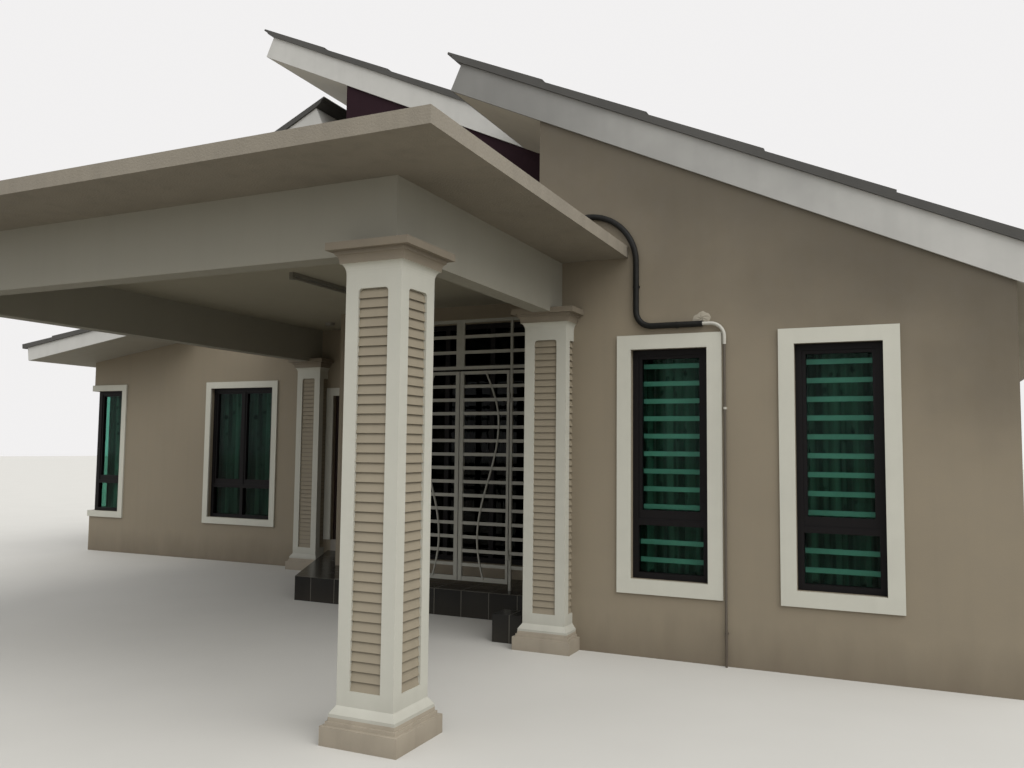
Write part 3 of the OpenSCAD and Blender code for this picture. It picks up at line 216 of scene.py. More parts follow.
def tube(points, radius, sides=12):
    """A round tube: a ring of points carried along a line of places, closed with a fan at each end."""
    line = np.asarray(points, float)
    along = np.gradient(line, axis=0)
    along /= np.linalg.norm(along, axis=1, keepdims=True)
    guide = np.array([0.0, 0.0, 1.0]) if abs(along[:, 2]).max() < 0.9 else np.array([0.0, 1.0, 0.0])
    across = np.cross(along, guide)
    across /= np.linalg.norm(across, axis=1, keepdims=True)
    over = np.cross(across, along)
    angle = np.linspace(0, 2 * np.pi, sides, endpoint=False)[None, :, None]
    ring = line[:, None] + radius * (np.cos(angle) * across[:, None] + np.sin(angle) * over[:, None])
    points = np.vstack([ring.reshape(-1, 3), line[:1], line[-1:]])
    n, last = len(line) * sides, (len(line) - 1) * sides
    around = [(k, (k + 1) % sides) for k in range(sides)]
    fans = [[n, b, a] for a, b in around] + [[n + 1, last + a, last + b] for a, b in around]
    return points, [list(q) for q in grid_faces(len(line), sides, wrap=True)] + fans


def joined(shapes):
    """Several (points, faces) pairs as one."""
    points, faces, n = [], [], 0
    for p, f in shapes:
        points.append(np.asarray(p, float))
        faces += [[int(c) + n for c in face] for face in f]
        n += len(p)
    return np.vstack(points), faces


print("boxes and tubes ready")

# %% Floor
reach = 90
corners = [[-reach, -reach, 0], [reach, -reach, 0], [reach, reach, 0], [-reach, reach, 0]]
ground = mesh_piece("ground", corners, [[0, 1, 2, 3]], body=None)
print("floor laid")

# %% [markdown]
# ## Finishes
#
# Real paint is never one colour. It is thinner here and greasier there, rain has drawn faint streaks
# down it, and dirt has splashed up from the ground. These effects are the same on every painted wall,
# so they are node groups, each with its own inputs, and each material places them with its own values.
# One more group paints shade into the colour: darker near a given line, fading out over a given reach.

# %% Node helpers


def node_group(name, inputs, outputs):
    """An empty shader node group with named inputs (name, kind, value) and outputs (name, kind)."""
    group = bpy.data.node_groups.new(name, "ShaderNodeTree")
    for label, kind, value in inputs:
        socket = group.interface.new_socket(label, in_out="INPUT", socket_type="NodeSocket" + kind)
        socket.default_value = value
    for label, kind in outputs:
        group.interface.new_socket(label, in_out="OUTPUT", socket_type="NodeSocket" + kind)
    return group, group.nodes.new("NodeGroupInput"), group.nodes.new("NodeGroupOutput")


class Maker:
    """Adds nodes to one tree and links them: a value that is a socket is linked, others are set."""

    def __init__(self, tree):
        self.tree = tree

    def fill(self, socket, value):
        if isinstance(value, bpy.types.NodeSocket):
            self.tree.links.new(value, socket)
        elif value is not None:
            socket.default_value = value

    def add(self, kind, inputs=None, **settings):
        node = self.tree.nodes.new("ShaderNode" + kind)
        for key, value in settings.items():
            setattr(node, key, value)
        for key, value in (inputs or {}).items():
            self.fill(node.inputs[key], value)
        return node

    def math(self, operation, a, b=None):
        return self.add("Math", {0: a, 1: b}, operation=operation).outputs[0]

    def mix(self, fac, a, b, blend="MIX"):
        node = self.add("Mix", data_type="RGBA", blend_type=blend)
        self.fill(node.inputs[0], fac)
        self.fill(node.inputs[6], a)
        self.fill(node.inputs[7], b)
        return node.outputs[2]

    def scaled(self, vector, by):
        node = self.add("VectorMath", {0: vector}, operation="SCALE")
        self.fill(node.inputs["Scale"], by)
        return node.outputs[0]

    def noise(self, vector, scale, detail=3.0, rough=0.5):
        inputs = {"Vector": vector, "Scale": scale, "Detail": detail, "Roughness": rough}
        return self.add("TexNoise", inputs).outputs["Fac"]

    def ramp(self, value, low, high, out_low=0.0, out_high=1.0):
        inputs = {"Value": value, "From Min": low, "From Max": high, "To Min": out_low, "To Max": out_high}
        return self.add("MapRange", inputs).outputs["Result"]

    def place(self, scale=(1, 1, 1)):
        at = self.add("TexCoord").outputs["Object"]
        return self.add("Mapping", {"Vector": at, "Scale": scale}).outputs["Vector"]

    def axes(self):
        return self.add("SeparateXYZ", {0: self.add("TexCoord").outputs["Object"]}).outputs


def srgb(r, g, b):
    """A screen colour, 0 to 255, as the linear colour that a shader reads."""
    c = np.array([r, g, b]) / 255
    linear = np.where(c <= 0.04045, c / 12.92, ((c + 0.055) / 1.055) ** 2.4)
    return (*linear.tolist(), 1.0)


print("node helpers ready")

# %% Weather group
group, given, result = node_group(
    "weather",
    [("Color", "Color", (0.5, 0.5, 0.5, 1)), ("Patches", "Float", 0.06), ("Streaks", "Float", 0.08),
     ("Dirt", "Float", 0.4), ("Dirt top", "Float", 0.5), ("Dirt color", "Color", srgb(78, 67, 55))],
    [("Color", "Color"), ("Roughness", "Float")],
)
make = Maker(group)
cloudy = make.noise(make.place(), 0.9, 4.0)
blotch = make.noise(make.place(), 7.0, 5.0, 0.6)
streak = make.noise(make.place((9, 9, 0.5)), 1.0, 4.0)
patchy = make.ramp(cloudy, 0.3, 0.7, -1.0, 1.0)
spotty = make.ramp(blotch, 0.35, 0.65, -0.6, 0.6)
vary = make.math("MULTIPLY", make.math("ADD", patchy, spotty), given.outputs["Patches"])
runs = make.math("MULTIPLY", make.ramp(streak, 0.5, 0.75), given.outputs["Streaks"])
shade = make.math("SUBTRACT", make.math("ADD", vary, 1.0), runs)
shaded = make.scaled(given.outputs["Color"], shade)
ragged = make.math("MULTIPLY", make.noise(make.place((3, 3, 1)), 1.6, 5.0), given.outputs["Dirt top"])
low = make.math("SUBTRACT", ragged, make.axes()["Z"])
foot = make.math("MULTIPLY", make.ramp(low, -0.15, 0.25), given.outputs["Dirt"])
group.links.new(make.mix(foot, shaded, given.outputs["Dirt color"]), result.inputs["Color"])
group.links.new(make.ramp(blotch, 0.3, 0.7, 0.62, 0.85), result.inputs["Roughness"])
weather = group
print("weather group:", len(weather.nodes), "nodes")

# %% Painted shade group
# Painted shade: the colour is darkened near a line and lightens over a reach, with a ragged edge, only
# towards the front at y below -0.9.
group, given, result = node_group(
    "painted_shade",
    [("Color", "Color", (0.5, 0.5, 0.5, 1)), ("From", "Vector", (0, 0, 0)), ("Along", "Vector", (0, 0, -1)),
     ("Reach", "Float", 1.0), ("Amount", "Float", 0.3)],
    [("Color", "Color")],
)
make = Maker(group)
away = make.add("VectorMath", {0: make.add("TexCoord").outputs["Object"], 1: given.outputs["From"]},
                operation="SUBTRACT").outputs[0]
far = make.add("VectorMath", {0: away, 1: given.outputs["Along"]}, operation="DOT_PRODUCT").outputs["Value"]
share = make.math("DIVIDE", far, given.outputs["Reach"])
ragged = make.math("ADD", share, make.ramp(make.noise(make.place(), 1.3, 4.0), 0.3, 0.7, -0.12, 0.12))
limits = {"Value": ragged, "From Min": 0.0, "From Max": 1.0, "To Min": 1.0, "To Max": 0.0}
fade = make.add("MapRange", limits, interpolation_type="SMOOTHSTEP").outputs["Result"]
in_front = make.ramp(make.axes()["Y"], -0.9, -1.6)
held = make.math("MULTIPLY", make.math("MULTIPLY", fade, in_front), given.outputs["Amount"])
kept = make.math("SUBTRACT", 1.0, held)
group.links.new(make.scaled(given.outputs["Color"], kept), result.inputs["Color"])
painted_shade = group
print("damp group:", len(painted_shade.nodes), "nodes")

# %% Grain group
group, given, result = node_group(
    "roller_grain",
    [("Size", "Float", 0.004), ("Waves", "Float", 0.3)],
    [("Height", "Float")],
)
make = Maker(group)
grain = make.noise(make.place(), make.math("DIVIDE", 1.0, given.outputs["Size"]), 2.0)
wave = make.noise(make.place(), 4.0, 2.0)
total = make.math("ADD", grain, make.math("MULTIPLY", wave, given.outputs["Waves"]))
group.links.new(total, result.inputs["Height"])
roller_grain = group
print("grain group:", len(roller_grain.nodes), "nodes")

# %% [markdown]
# Floor tiles are laid on a square grid, with a joint of pale grout between them. The grid has to work
# on the top of the platform and on its upright faces, so the group draws a line across each axis and
# drops the axis that the face looks along.

# %% Tile group
group, given, result = node_group(
    "tile_grid",
    [("Pitch", "Vector", (0.3, 0.3, 0.3)), ("Start", "Vector", (0, 0, 0)), ("Joint", "Float", 0.004)],
    [("Joint", "Float"), ("Tone", "Float")],
)
make = Maker(group)
spot = make.add("VectorMath", {0: make.add("TexCoord").outputs["Object"], 1: given.outputs["Start"]},
                operation="SUBTRACT").outputs[0]
cell = make.add("VectorMath", {0: spot, 1: given.outputs["Pitch"]}, operation="DIVIDE").outputs[0]
split = make.add("SeparateXYZ", {0: cell}).outputs
pitch = make.add("SeparateXYZ", {0: given.outputs["Pitch"]}).outputs
facing = make.add("SeparateXYZ", {0: make.add("NewGeometry").outputs["Normal"]}).outputs
lines = []
for axis in range(3):
    part = make.math("ABSOLUTE", make.math("SUBTRACT", make.math("FRACT", split[axis]), 0.5))
    edge = make.math("SUBTRACT", 0.5, make.math("DIVIDE", given.outputs["Joint"], pitch[axis]))
    across = make.math("LESS_THAN", make.math("ABSOLUTE", facing[axis]), 0.5)
    lines.append(make.math("MULTIPLY", make.math("GREATER_THAN", part, edge), across))
joint = make.math("MAXIMUM", make.math("MAXIMUM", lines[0], lines[1]), lines[2])
whole = make.add("VectorMath", {0: cell}, operation="FLOOR").outputs[0]
tone = make.add("TexWhiteNoise", {"Vector": whole}, noise_dimensions="3D").outputs["Value"]
group.links.new(joint, result.inputs["Joint"])
group.links.new(tone, result.inputs["Tone"])
tile_grid = group
print("tile group:", len(tile_grid.nodes), "nodes")

# %% Finish builder


def finish(name):
    """A new material with a Principled shader, and a Maker for its tree."""
    material = bpy.data.materials.new(name)
    material.use_nodes = True
    material.node_tree.nodes.clear()
    make = Maker(material.node_tree)
    shader = make.add("BsdfPrincipled")
    make.tree.links.new(shader.outputs[0], make.add("OutputMaterial").inputs["Surface"])
    return material, make, shader


def use_group(make, group, values):
    """Places a node group with values for its named inputs."""
    node = make.tree.nodes.new("ShaderNodeGroup")
    node.node_tree = group
    for label, value in values.items():
        make.fill(node.inputs[label], value)
    return node


def painted(name, colour, patches=0.05, streaks=0.04, dirt=0.4, dirt_top=0.4, grain=0.004, depth=0.0006,
            rough=None, shade_band=None, shine=0.4):
    """Rolled paint: weather for colour, grain for bump, and painted shade where a shade band is given."""
    material, make, shader = finish(name)
    worn = use_group(make, weather, {"Color": colour, "Patches": patches, "Streaks": streaks,
                                     "Dirt": dirt, "Dirt top": dirt_top})
    base = worn.outputs["Color"]
    # Painted shade: the colour darkens along the given shade band.
    if shade_band:
        base = use_group(make, painted_shade, dict(shade_band, Color=base)).outputs["Color"]
    make.fill(shader.inputs["Base Color"], base)
    shader.inputs["Specular IOR Level"].default_value = shine
    make.fill(shader.inputs["Roughness"], worn.outputs["Roughness"] if rough is None else rough)
    bumps = use_group(make, roller_grain, {"Size": grain})
    bump = make.add("Bump", {"Height": bumps.outputs["Height"], "Distance": depth, "Strength": 1.0})
    make.fill(shader.inputs["Normal"], bump.outputs["Normal"])
    return material


roof_pitch, low_pitch = radians(25), radians(8.1)
right_eave = (5.69, 0, 2.832)
# Painted shade: the wall paint darkens up towards the right wing's roof edge, fading out 1.6 m below it.
shade_below_roof_edge = {"From": right_eave, "Along": (-sin(roof_pitch), 0, -cos(roof_pitch)),
               "Reach": 1.6, "Amount": 0.54}
# Painted shade: the white boards on the front verge darken towards the ridge, fading out 6.2 m down the
# slope.
shade_towards_ridge = {"From": (0.9, 0, 5.07), "Along": (cos(roof_pitch), 0, -sin(roof_pitch)),
              "Reach": 6.2, "Amount": 0.62}
finishes = {
    "wall_paint": painted("wall_paint", srgb(132, 122, 104), 0.035, 0.03, 0.45, 0.4, shade_band=shade_below_roof_edge),
    "maroon_paint": painted("maroon_paint", srgb(40, 24, 30), 0.08, 0.06, 0.0, 0.0, rough=0.75, shine=0.1),
    "grey_trim": painted("grey_trim", srgb(122, 113, 98), 0.06, 0.08, 0.45, 0.25),
    "trim_paint": painted("trim_paint", srgb(187, 186, 174), 0.03, 0.03, 0.4, 0.3),
    "white_render": painted("white_render", srgb(179, 178, 167), 0.03, 0.03, 0.4, 0.3),
    "beam_paint": painted("beam_paint", srgb(140, 137, 125), 0.03, 0.03, 0.0, 0.0),
    "slab_paint": painted("slab_paint", srgb(131, 124, 111), 0.07, 0.1, 0.0, 0.0, 0.012, 0.003),
    "plinth_paint": painted("plinth_paint", srgb(157, 148, 132), 0.08, 0.1, 0.5, 0.12, 0.006, 0.001),
    "ceiling_paint": painted("ceiling_paint", srgb(152, 147, 130), 0.04, 0.0, 0.0, 0.0),
    "floor_tile": painted("floor_tile", srgb(133, 128, 119), 0.06, 0.0, 0.0, 0.0),
    "roof_covering": painted("roof_covering", srgb(72, 71, 68), 0.1, 0.1, 0.0, 0.0, 0.01, 0.002),
    "white_board": painted("white_board", srgb(182, 181, 176), 0.04, 0.05, 0.0, 0.0, 0.006, 0.0003,
                           shade_band=shade_towards_ridge),
    "soffit_board": painted("soffit_board", srgb(149, 145, 134), 0.05, 0.05, 0.0, 0.0, 0.006, 0.0003),
    "eaves_paint": painted("eaves_paint", srgb(190, 185, 172), 0.05, 0.05, 0.0, 0.0, 0.006, 0.0003),
    "dark_frame": painted("dark_frame", srgb(19, 17, 18), 0.08, 0.05, 0.2, 0.6, 0.002, 0.0001, 0.5,
                          shine=0.15),
    "painted_steel": painted("painted_steel", srgb(136, 135, 126), 0.08, 0.04, 0.3, 0.4, 0.002, 0.0001,
                             0.45),
    "steel_handle": painted("steel_handle", srgb(141, 141, 138), 0.05, 0.0, 0.0, 0.0, 0.001, 0.00005, 0.3),
    "lamp_white": painted("lamp_white", srgb(117, 114, 105), 0.03, 0.0, 0.0, 0.0, 0.003, 0.0001, 0.4),
}
print("painted finishes:", len(finishes))

# %% [markdown]
# ## Porch tiles
#
# The platform is laid with black glazed tiles, 0.30 m square, and the grout between them has dried
# nearly white. The tile group gives the joints; the glaze is smooth and the grout rough.

# %% Black tiles
tile, grout = 0.3, 0.003
material, make, shader = finish("black_tile")
laid = use_group(make, tile_grid, {"Pitch": (tile, tile, tile), "Start": (0.09, -0.88, -0.045),
                                   "Joint": grout})
glaze = make.scaled(srgb(30, 30, 29)[:3], make.ramp(laid.outputs["Tone"], 0.0, 1.0, 0.8, 1.25))
dusty = use_group(make, weather, {"Color": glaze, "Patches": 0.15, "Streaks": 0.0, "Dirt": 0.3,
                                  "Dirt top": 0.25, "Dirt color": srgb(85, 78, 67)})
make.fill(shader.inputs["Base Color"], make.mix(laid.outputs["Joint"], dusty.outputs["Color"],
                                                srgb(104, 101, 92)))
make.fill(shader.inputs["Roughness"], make.ramp(laid.outputs["Joint"], 0.0, 1.0, 0.22, 0.8))
shader.inputs["Specular IOR Level"].default_value = 0.25
sunk = make.math("SUBTRACT", 1.0, laid.outputs["Joint"])
make.fill(shader.inputs["Normal"], make.add("Bump", {"Height": sunk, "Distance": 0.002}).outputs["Normal"])
finishes["black_tile"] = material
print("black tiles ready")

# %% [markdown]
# ## Timber, hose and conduit
#
# The door is dark red hardwood: long grain runs up the boards, broken by darker pores. The hose on
# the wall is foam wound with black tape, so its bump is a row of overlapping edges. The pipe that it
# enters is white, and further down it was painted over with the wall.

# %% Timber group
group, given, result = node_group(
    "timber_grain",
    [("Color", "Color", (0.1, 0.05, 0.04, 1)), ("Dark", "Color", (0.03, 0.01, 0.01, 1))],
    [("Color", "Color"), ("Height", "Float")],
)
make = Maker(group)
rings = make.noise(make.place((14, 14, 0.8)), 2.0, 5.0, 0.65)
pores = make.noise(make.place((260, 260, 9)), 1.0, 2.0)
bands = make.ramp(rings, 0.35, 0.65)
group.links.new(make.mix(bands, given.outputs["Color"], given.outputs["Dark"]), result.inputs["Color"])
group.links.new(make.math("ADD", make.math("MULTIPLY", rings, 0.5), pores), result.inputs["Height"])
timber_grain = group


def timber(name, light, dark):
    """Varnished hardwood with upright grain."""
    material, make, shader = finish(name)
    wood = use_group(make, timber_grain, {"Color": light, "Dark": dark})
    make.fill(shader.inputs["Base Color"], wood.outputs["Color"])
    shader.inputs["Roughness"].default_value = 0.35
    shader.inputs["Coat Weight"].default_value = 0.3
    bump = make.add("Bump", {"Height": wood.outputs["Height"], "Distance": 0.0004})
    make.fill(shader.inputs["Normal"], bump.outputs["Normal"])
    return material


finishes["dark_timber"] = timber("dark_timber", srgb(51, 30, 27), srgb(28, 16, 15))
finishes["red_timber"] = timber("red_timber", srgb(65, 30, 26), srgb(39, 18, 16))
print("timber group:", len(timber_grain.nodes), "nodes")

# %% Lapped boards
# Each board starts at the thick lower edge of its lap, so the painted shadow under the next lap is the last
# part of a course.
boards_low, board_count = 0.295, 41
board_h = 2.25 / board_count
material, make, shader = finish("lapped_board")
from_low = make.math("SUBTRACT", make.axes()["Z"], boards_low)
course = make.math("FRACT", make.math("DIVIDE", from_low, board_h))
# Painted shadow: the top part of each board, under the lap of the next one, is mixed towards dark brown.
lap_shadow = make.ramp(course, 0.72, 0.95, 0.0, 0.32)
worn = use_group(make, weather, {"Color": srgb(139, 130, 112), "Patches": 0.04, "Streaks": 0.05,
                                 "Dirt": 0.3, "Dirt top": 0.5})
make.fill(shader.inputs["Base Color"], make.mix(lap_shadow, worn.outputs["Color"], srgb(44, 40, 33)))
make.fill(shader.inputs["Roughness"], worn.outputs["Roughness"])
shader.inputs["Specular IOR Level"].default_value = 0.4
height = use_group(make, roller_grain, {"Size": 0.006}).outputs["Height"]
bump = make.add("Bump", {"Height": height, "Distance": 0.0006})
make.fill(shader.inputs["Normal"], bump.outputs["Normal"])
finishes["lapped_board"] = material
print("boards: %d courses of %.1f mm" % (board_count, board_h * 1000))

# %% Hose and conduit
tape_step, elbow_low, clip_z, clip_half = 0.045, 2.48, 1.97, 0.009
material, make, shader = finish("foam_hose")
at = make.axes()
turns = make.math("FRACT", make.math("DIVIDE", make.math("SUBTRACT", at["X"], at["Z"]), tape_step))
grey = make.ramp(make.noise(make.place(), 30.0, 4.0), 0.3, 0.7, 0.7, 1.4)
make.fill(shader.inputs["Base Color"], make.scaled(srgb(21, 21, 19)[:3], grey))
shader.inputs["Roughness"].default_value = 0.55
shader.inputs["Specular IOR Level"].default_value = 0.2
bump = make.add("Bump", {"Height": turns, "Distance": 0.0015})
make.fill(shader.inputs["Normal"], bump.outputs["Normal"])
finishes["foam_hose"] = material

material, make, shader = finish("conduit_grey")
up = make.axes()["Z"]
uneven = make.math("MULTIPLY", make.noise(make.place(), 20.0), 0.02)
elbow = make.math("GREATER_THAN", make.math("ADD", up, uneven), elbow_low)
clip = make.math("LESS_THAN", make.math("ABSOLUTE", make.math("SUBTRACT", up, clip_z)), clip_half)
bare = make.math("MAXIMUM", elbow, clip)
worn = use_group(make, weather, {"Color": srgb(81, 74, 64), "Patches": 0.08, "Streaks": 0.08,
                                 "Dirt": 0.5, "Dirt top": 0.5})
make.fill(shader.inputs["Base Color"], make.mix(bare, worn.outputs["Color"], srgb(173, 171, 161)))
shader.inputs["Roughness"].default_value = 0.5
finishes["conduit_grey"] = material
print("hose and conduit ready")

# %% [markdown]
# ## Window glass
#
# The panes are green tinted glass. A pane is a thin solid here, so light bends in and out of it as it
# does in a real one, and is tinted once on the way through. What hangs behind it is lit through the
# same glass, so it is tinted twice: bars that are nearly white look teal.

# %% Glass


def tinted_glass(name, tint):
    """Thin window glass with a faint film of dirt that varies its tint."""
    material, make, shader = finish(name)
    shader.inputs["Transmission Weight"].default_value = 1.0
    shader.inputs["IOR"].default_value = 1.16
    shader.inputs["Roughness"].default_value = 0.02
    film = make.ramp(make.noise(make.place(), 3.0, 3.0), 0.3, 0.7, 0.85, 1.0)
    make.fill(shader.inputs["Base Color"], make.scaled(tint[:3], film))
    return material


finishes["green_glass"] = tinted_glass("green_glass", srgb(152, 204, 190))
finishes["dark_glass"] = tinted_glass("dark_glass", srgb(92, 106, 104))

# %% Finishes on the CAD nodes
finish_of = dict(slot_of, front_beam="beam_paint", side_beams="beam_paint", carport_slab="slab_paint",
                 column_plinths="plinth_paint", main_roof_soffits="eaves_paint",
                 front_window_trims="trim_paint", rear_window_trims="trim_paint")
for name, piece in nodes.items():
    piece.data.materials.clear()
    piece.data.materials.append(finishes[finish_of[name]])
print("dressed", len(nodes), "nodes in", len(set(finish_of.values())), "finishes")

# %% [markdown]
# The floor is pale to the eye, but so wide a pale floor would throw too much light up under the roof.
# So the camera sees the pale colour, and light that bounces sees a greyer one.

# %% Floor finish
material, make, shader = finish("pale_floor")
pale = make.ramp(make.noise(make.place(), 1.4, 4.0), 0.3, 0.7, 0.985, 1.015)
shader.inputs["Roughness"].default_value = 0.9
seen = make.scaled(srgb(189, 187, 181)[:3], pale)
make.fill(shader.inputs["Base Color"], make.mix(make.add("LightPath").outputs["Is Camera Ray"],
                                                srgb(162, 158, 149), seen))
ground.data.materials.append(material)
print("floor finished")

# %% [markdown]
# ## Windows from inside
#
# Each window is listed once as its place on the wall, the way the wall faces and its width. Bars,
# rails and curtains are worked out in the window's own frame, x along the wall and y into the room,
# and then turned and moved together with one matrix product.

# %% Window places
FRONT, RIGHT, BACK, LEFT = 0, 90, 180, -90
narrow, wide, sill, head, wall = 0.620, 1.120, 0.610, 2.455, 0.180
front_windows = [(3.246, -1.65, FRONT, narrow), (4.523, -1.65, FRONT, narrow), (-3.655, 1.15, FRONT, wide)]
side_windows = [(5.69, y, RIGHT, narrow) for y in (0.4125, 2.475, 4.5375)]
rear_windows = [(x, 6.6, BACK, wide) for x in (-5.25, -2.51, 0.485, 3.9)] + [(-6.62, 4.185, LEFT, wide)]


def at_window(window, points):
    """Points in a window's frame, turned to its wall and moved to its place."""
    turn = radians(window[2])
    spin = np.array([[cos(turn), sin(turn), 0], [-sin(turn), cos(turn), 0], [0, 0, 1]])
    return np.asarray(points, float) @ spin + np.array([window[0], window[1], 0])


print("windows:", len(front_windows), "front,", len(side_windows + rear_windows), "on the other sides")

# %% Window bars
# The tenth bar is left out, because the frame's transom is at its height.
bar_drop, bar_step, bar_half, bar_front, bar_back = 0.131, 0.1427, 0.0195, 0.124, 0.132
heights = head - bar_drop - bar_step * np.array([0, 1, 2, 3, 4, 5, 6, 7, 8, 10, 11])


def window_bars(name, windows):
    """Flat steel bars across narrow windows, just inside their frames."""
    shapes = []
    for window in windows:
        half = window[3] / 2
        lows = [[-half, bar_front, z - bar_half] for z in heights]
        highs = [[half, bar_back, z + bar_half] for z in heights]
        points, faces = eased_boxes(lows, highs, 0.001)
        shapes.append((at_window(window, points), faces))
    piece = face_outwards(mesh_piece(name, *joined(shapes), "painted_steel"))
    piece.data.materials.append(bar_paint)
    return len(windows) * len(heights)


bar_paint = painted("bar_paint", srgb(196, 198, 193), 0.05, 0.0, 0.0, 0.0, 0.002, 0.0001, 0.4)
print("window bars:", window_bars("window_bars_front", front_windows[:2]),
      "+", window_bars("window_bars_side", side_windows))

# %% [markdown]
# ## Curtains
#
# Curtains hang in folds from a rail above each window. A fold is a sine wave that is tight at the
# heading and opens towards the hem, and the distance along the wave is the width that the cloth had
# before it was gathered. So the flat size is measured from the same wave that makes the folds.

# %% Curtain cloth
material, make, shader = finish("curtain_cloth")
uv = make.add("TexCoord").outputs["UV"]
weave = make.add("TexChecker", {"Vector": uv, "Scale": 420.0, "Color1": (1, 1, 1, 1),
                                "Color2": (0.8, 0.8, 0.8, 1)}).outputs["Color"]
bands = make.add("Mapping", {"Vector": uv, "Scale": (4.2, 0.25, 1.0)}).outputs["Vector"]
striped = make.ramp(make.noise(bands, 1.6, 2.0), 0.42, 0.58)
sprig = make.add("TexVoronoi", {"Vector": uv, "Scale": 7.0, "Randomness": 0.9}).outputs["Distance"]
frayed = make.math("MULTIPLY", make.noise(uv, 30.0, 4.0), 0.3)
figured = make.ramp(make.math("ADD", sprig, frayed), 0.3, 0.42)
cloth = make.mix(make.math("MULTIPLY", striped, figured), srgb(52, 62, 55), srgb(134, 142, 130))
make.fill(shader.inputs["Base Color"], make.mix(1.0, cloth, weave, "MULTIPLY"))
shader.inputs["Roughness"].default_value = 0.9
shader.inputs["Sheen Weight"].default_value = 0.2
curtain_cloth = material
print("curtain cloth ready")

# %% Curtains and rails
rail_r, clasp_half, clasp_w = 0.009, 0.012, 0.024


def curtain(name, window, x0, x1, hang, phase):
    """A gathered sheet: x runs along the wall, the fold depth is a sine that grows towards the hem."""
    middle, rail_z, hem, fullness = hang
    fold_w, points_a_fold, under_rail = 0.085, 14, 0.012
    top = rail_z - under_rail
    folds = max(3, round((x1 - x0) / fold_w))
    columns, rows = folds * points_a_fold + 1, 29
    u = np.linspace(0, 1, columns)[None, :]
    v = np.linspace(0, 1, rows)[:, None]
    angle = 2 * np.pi * folds * u + 0.9 * np.sin(5 * u + phase) + 0.25 * np.sin(3 * v + 2 * u + phase)
    deep = fullness * (0.016 + 0.016 * v ** 0.7 + 0.004 * np.sin(11 * u + phase))
    x = x0 + (x1 - x0) * u + 0.006 * np.sin(2 * angle) * v
    y = middle + deep * np.sin(angle)
    z = top - (top - hem) * v + 0.004 * np.sin(angle + 1.0) * v
    grid = np.stack(np.broadcast_arrays(x, y, z), -1)
    runs = np.linalg.norm(np.diff(grid, axis=1), axis=2).sum(1).mean()
    piece = mesh_piece(name, at_window(window, grid.reshape(-1, 3)), grid_faces(rows, columns))
    piece.data.materials.append(curtain_cloth)
    lay_uv(piece, np.stack(np.broadcast_arrays(u * runs, (1 - v) * (top - hem)), -1))
    piece.data.polygons.foreach_set("use_smooth", np.ones(len(piece.data.polygons), bool))
    return float(runs)


def rail_shapes(window, x0, x1, hang):
    """A round rail over one window on two brackets, which reach back to the wall or up to the head."""
    middle, z = hang[:2]
    x = np.linspace(x0, x1, 9)
    bar = tube(np.stack([x, np.full(9, middle), np.full(9, z)], -1), rail_r)
    if middle > wall:
        back, front, low, high = wall, middle, z - clasp_half, z + clasp_half
    else:
        back, front, low, high = middle - clasp_half, middle + clasp_half, z, head
    starts = [x0 + 0.05, x1 - 0.074]
    lows = [[a, back, low] for a in starts]
    highs = [[a + clasp_w, front, high] for a in starts]
    return [(at_window(window, p), f) for p, f in (bar, eased_boxes(lows, highs, 0.002))]


print("curtain and rail makers ready")

# %% Hang the curtains
# How a curtain hangs: the rail's depth and height, the height of the hem, and the share of full folds.
inside, in_reveal = (wall + 0.075, head + 0.145, 0.47, 1.0), (0.155, head - 0.018, sill + 0.02, 0.6)
corner_front, corner_side = (-6.62, 1.15, FRONT, narrow), (-6.62, 1.15, LEFT, narrow)
front_spans = [(front_windows[0], -0.39, 0.39, inside), (front_windows[1], -0.39, 0.39, inside),
               (front_windows[2], -0.62, -0.17, inside), (front_windows[2], -0.07, 0.66, inside),
               (corner_front, 0.18, 0.60, in_reveal), (corner_side, -0.60, -0.14, in_reveal)]
rear_spans = [(w, -0.39, 0.39, inside) for w in side_windows]
rear_spans += [(w, -0.62, 0.62, inside) for w in rear_windows]
flats = []
for label, spans in (("front", front_spans), ("rear", rear_spans)):
    rail = "curtain_rails_" + label
    shapes = [shape for span in spans for shape in rail_shapes(*span)]
    rails = face_outwards(mesh_piece(rail, *joined(shapes), "steel_handle"))
    rails.data.materials.append(finishes["steel_handle"])
    for k, (window, x0, x1, hang) in enumerate(spans):
        name = "curtain_%s_%d" % (label, k + 1)
        flats.append(curtain(name, window, x0 + 0.02, x1 - 0.02, hang, 1.7 * k))
print("curtains:", len(flats), "flat widths", [round(f, 2) for f in flats])

# %% [markdown]
# ## Roof tiles
#
# The roofs are covered with flat concrete tiles. Each tile lies a little steeper than the roof, so
# its lower edge stands on the one below, and a low roll runs up one side and covers the joint. Both
# are functions of the place on the slope: a saw tooth along the fall and a hump across it.

# %% Concrete of the tiles
material, make, shader = finish("tile_concrete")
uv = make.add("TexCoord").outputs["UV"]
which = make.add("VectorMath", {0: uv}, operation="FLOOR").outputs[0]
batch = make.add("TexWhiteNoise", {"Vector": which}, noise_dimensions="2D").outputs["Value"]
grit = make.noise(make.place(), 90.0, 3.0)
moss = make.ramp(make.noise(make.place(), 1.1, 6.0, 0.7), 0.55, 0.75, 0.0, 0.4)
tone = make.math("MULTIPLY", make.ramp(batch, 0.0, 1.0, 0.86, 1.14), make.ramp(grit, 0.3, 0.7, 0.9, 1.1))
bare = make.scaled(srgb(73, 72, 70)[:3], tone)
make.fill(shader.inputs["Base Color"], make.mix(moss, bare, srgb(58, 58, 50)))
make.fill(shader.inputs["Roughness"], make.ramp(grit, 0.3, 0.7, 0.75, 0.92))
make.fill(shader.inputs["Normal"], make.add("Bump", {"Height": grit, "Distance": 0.0012}).outputs["Normal"])
tile_concrete = material
print("tile concrete ready")

# %% Tiled slopes


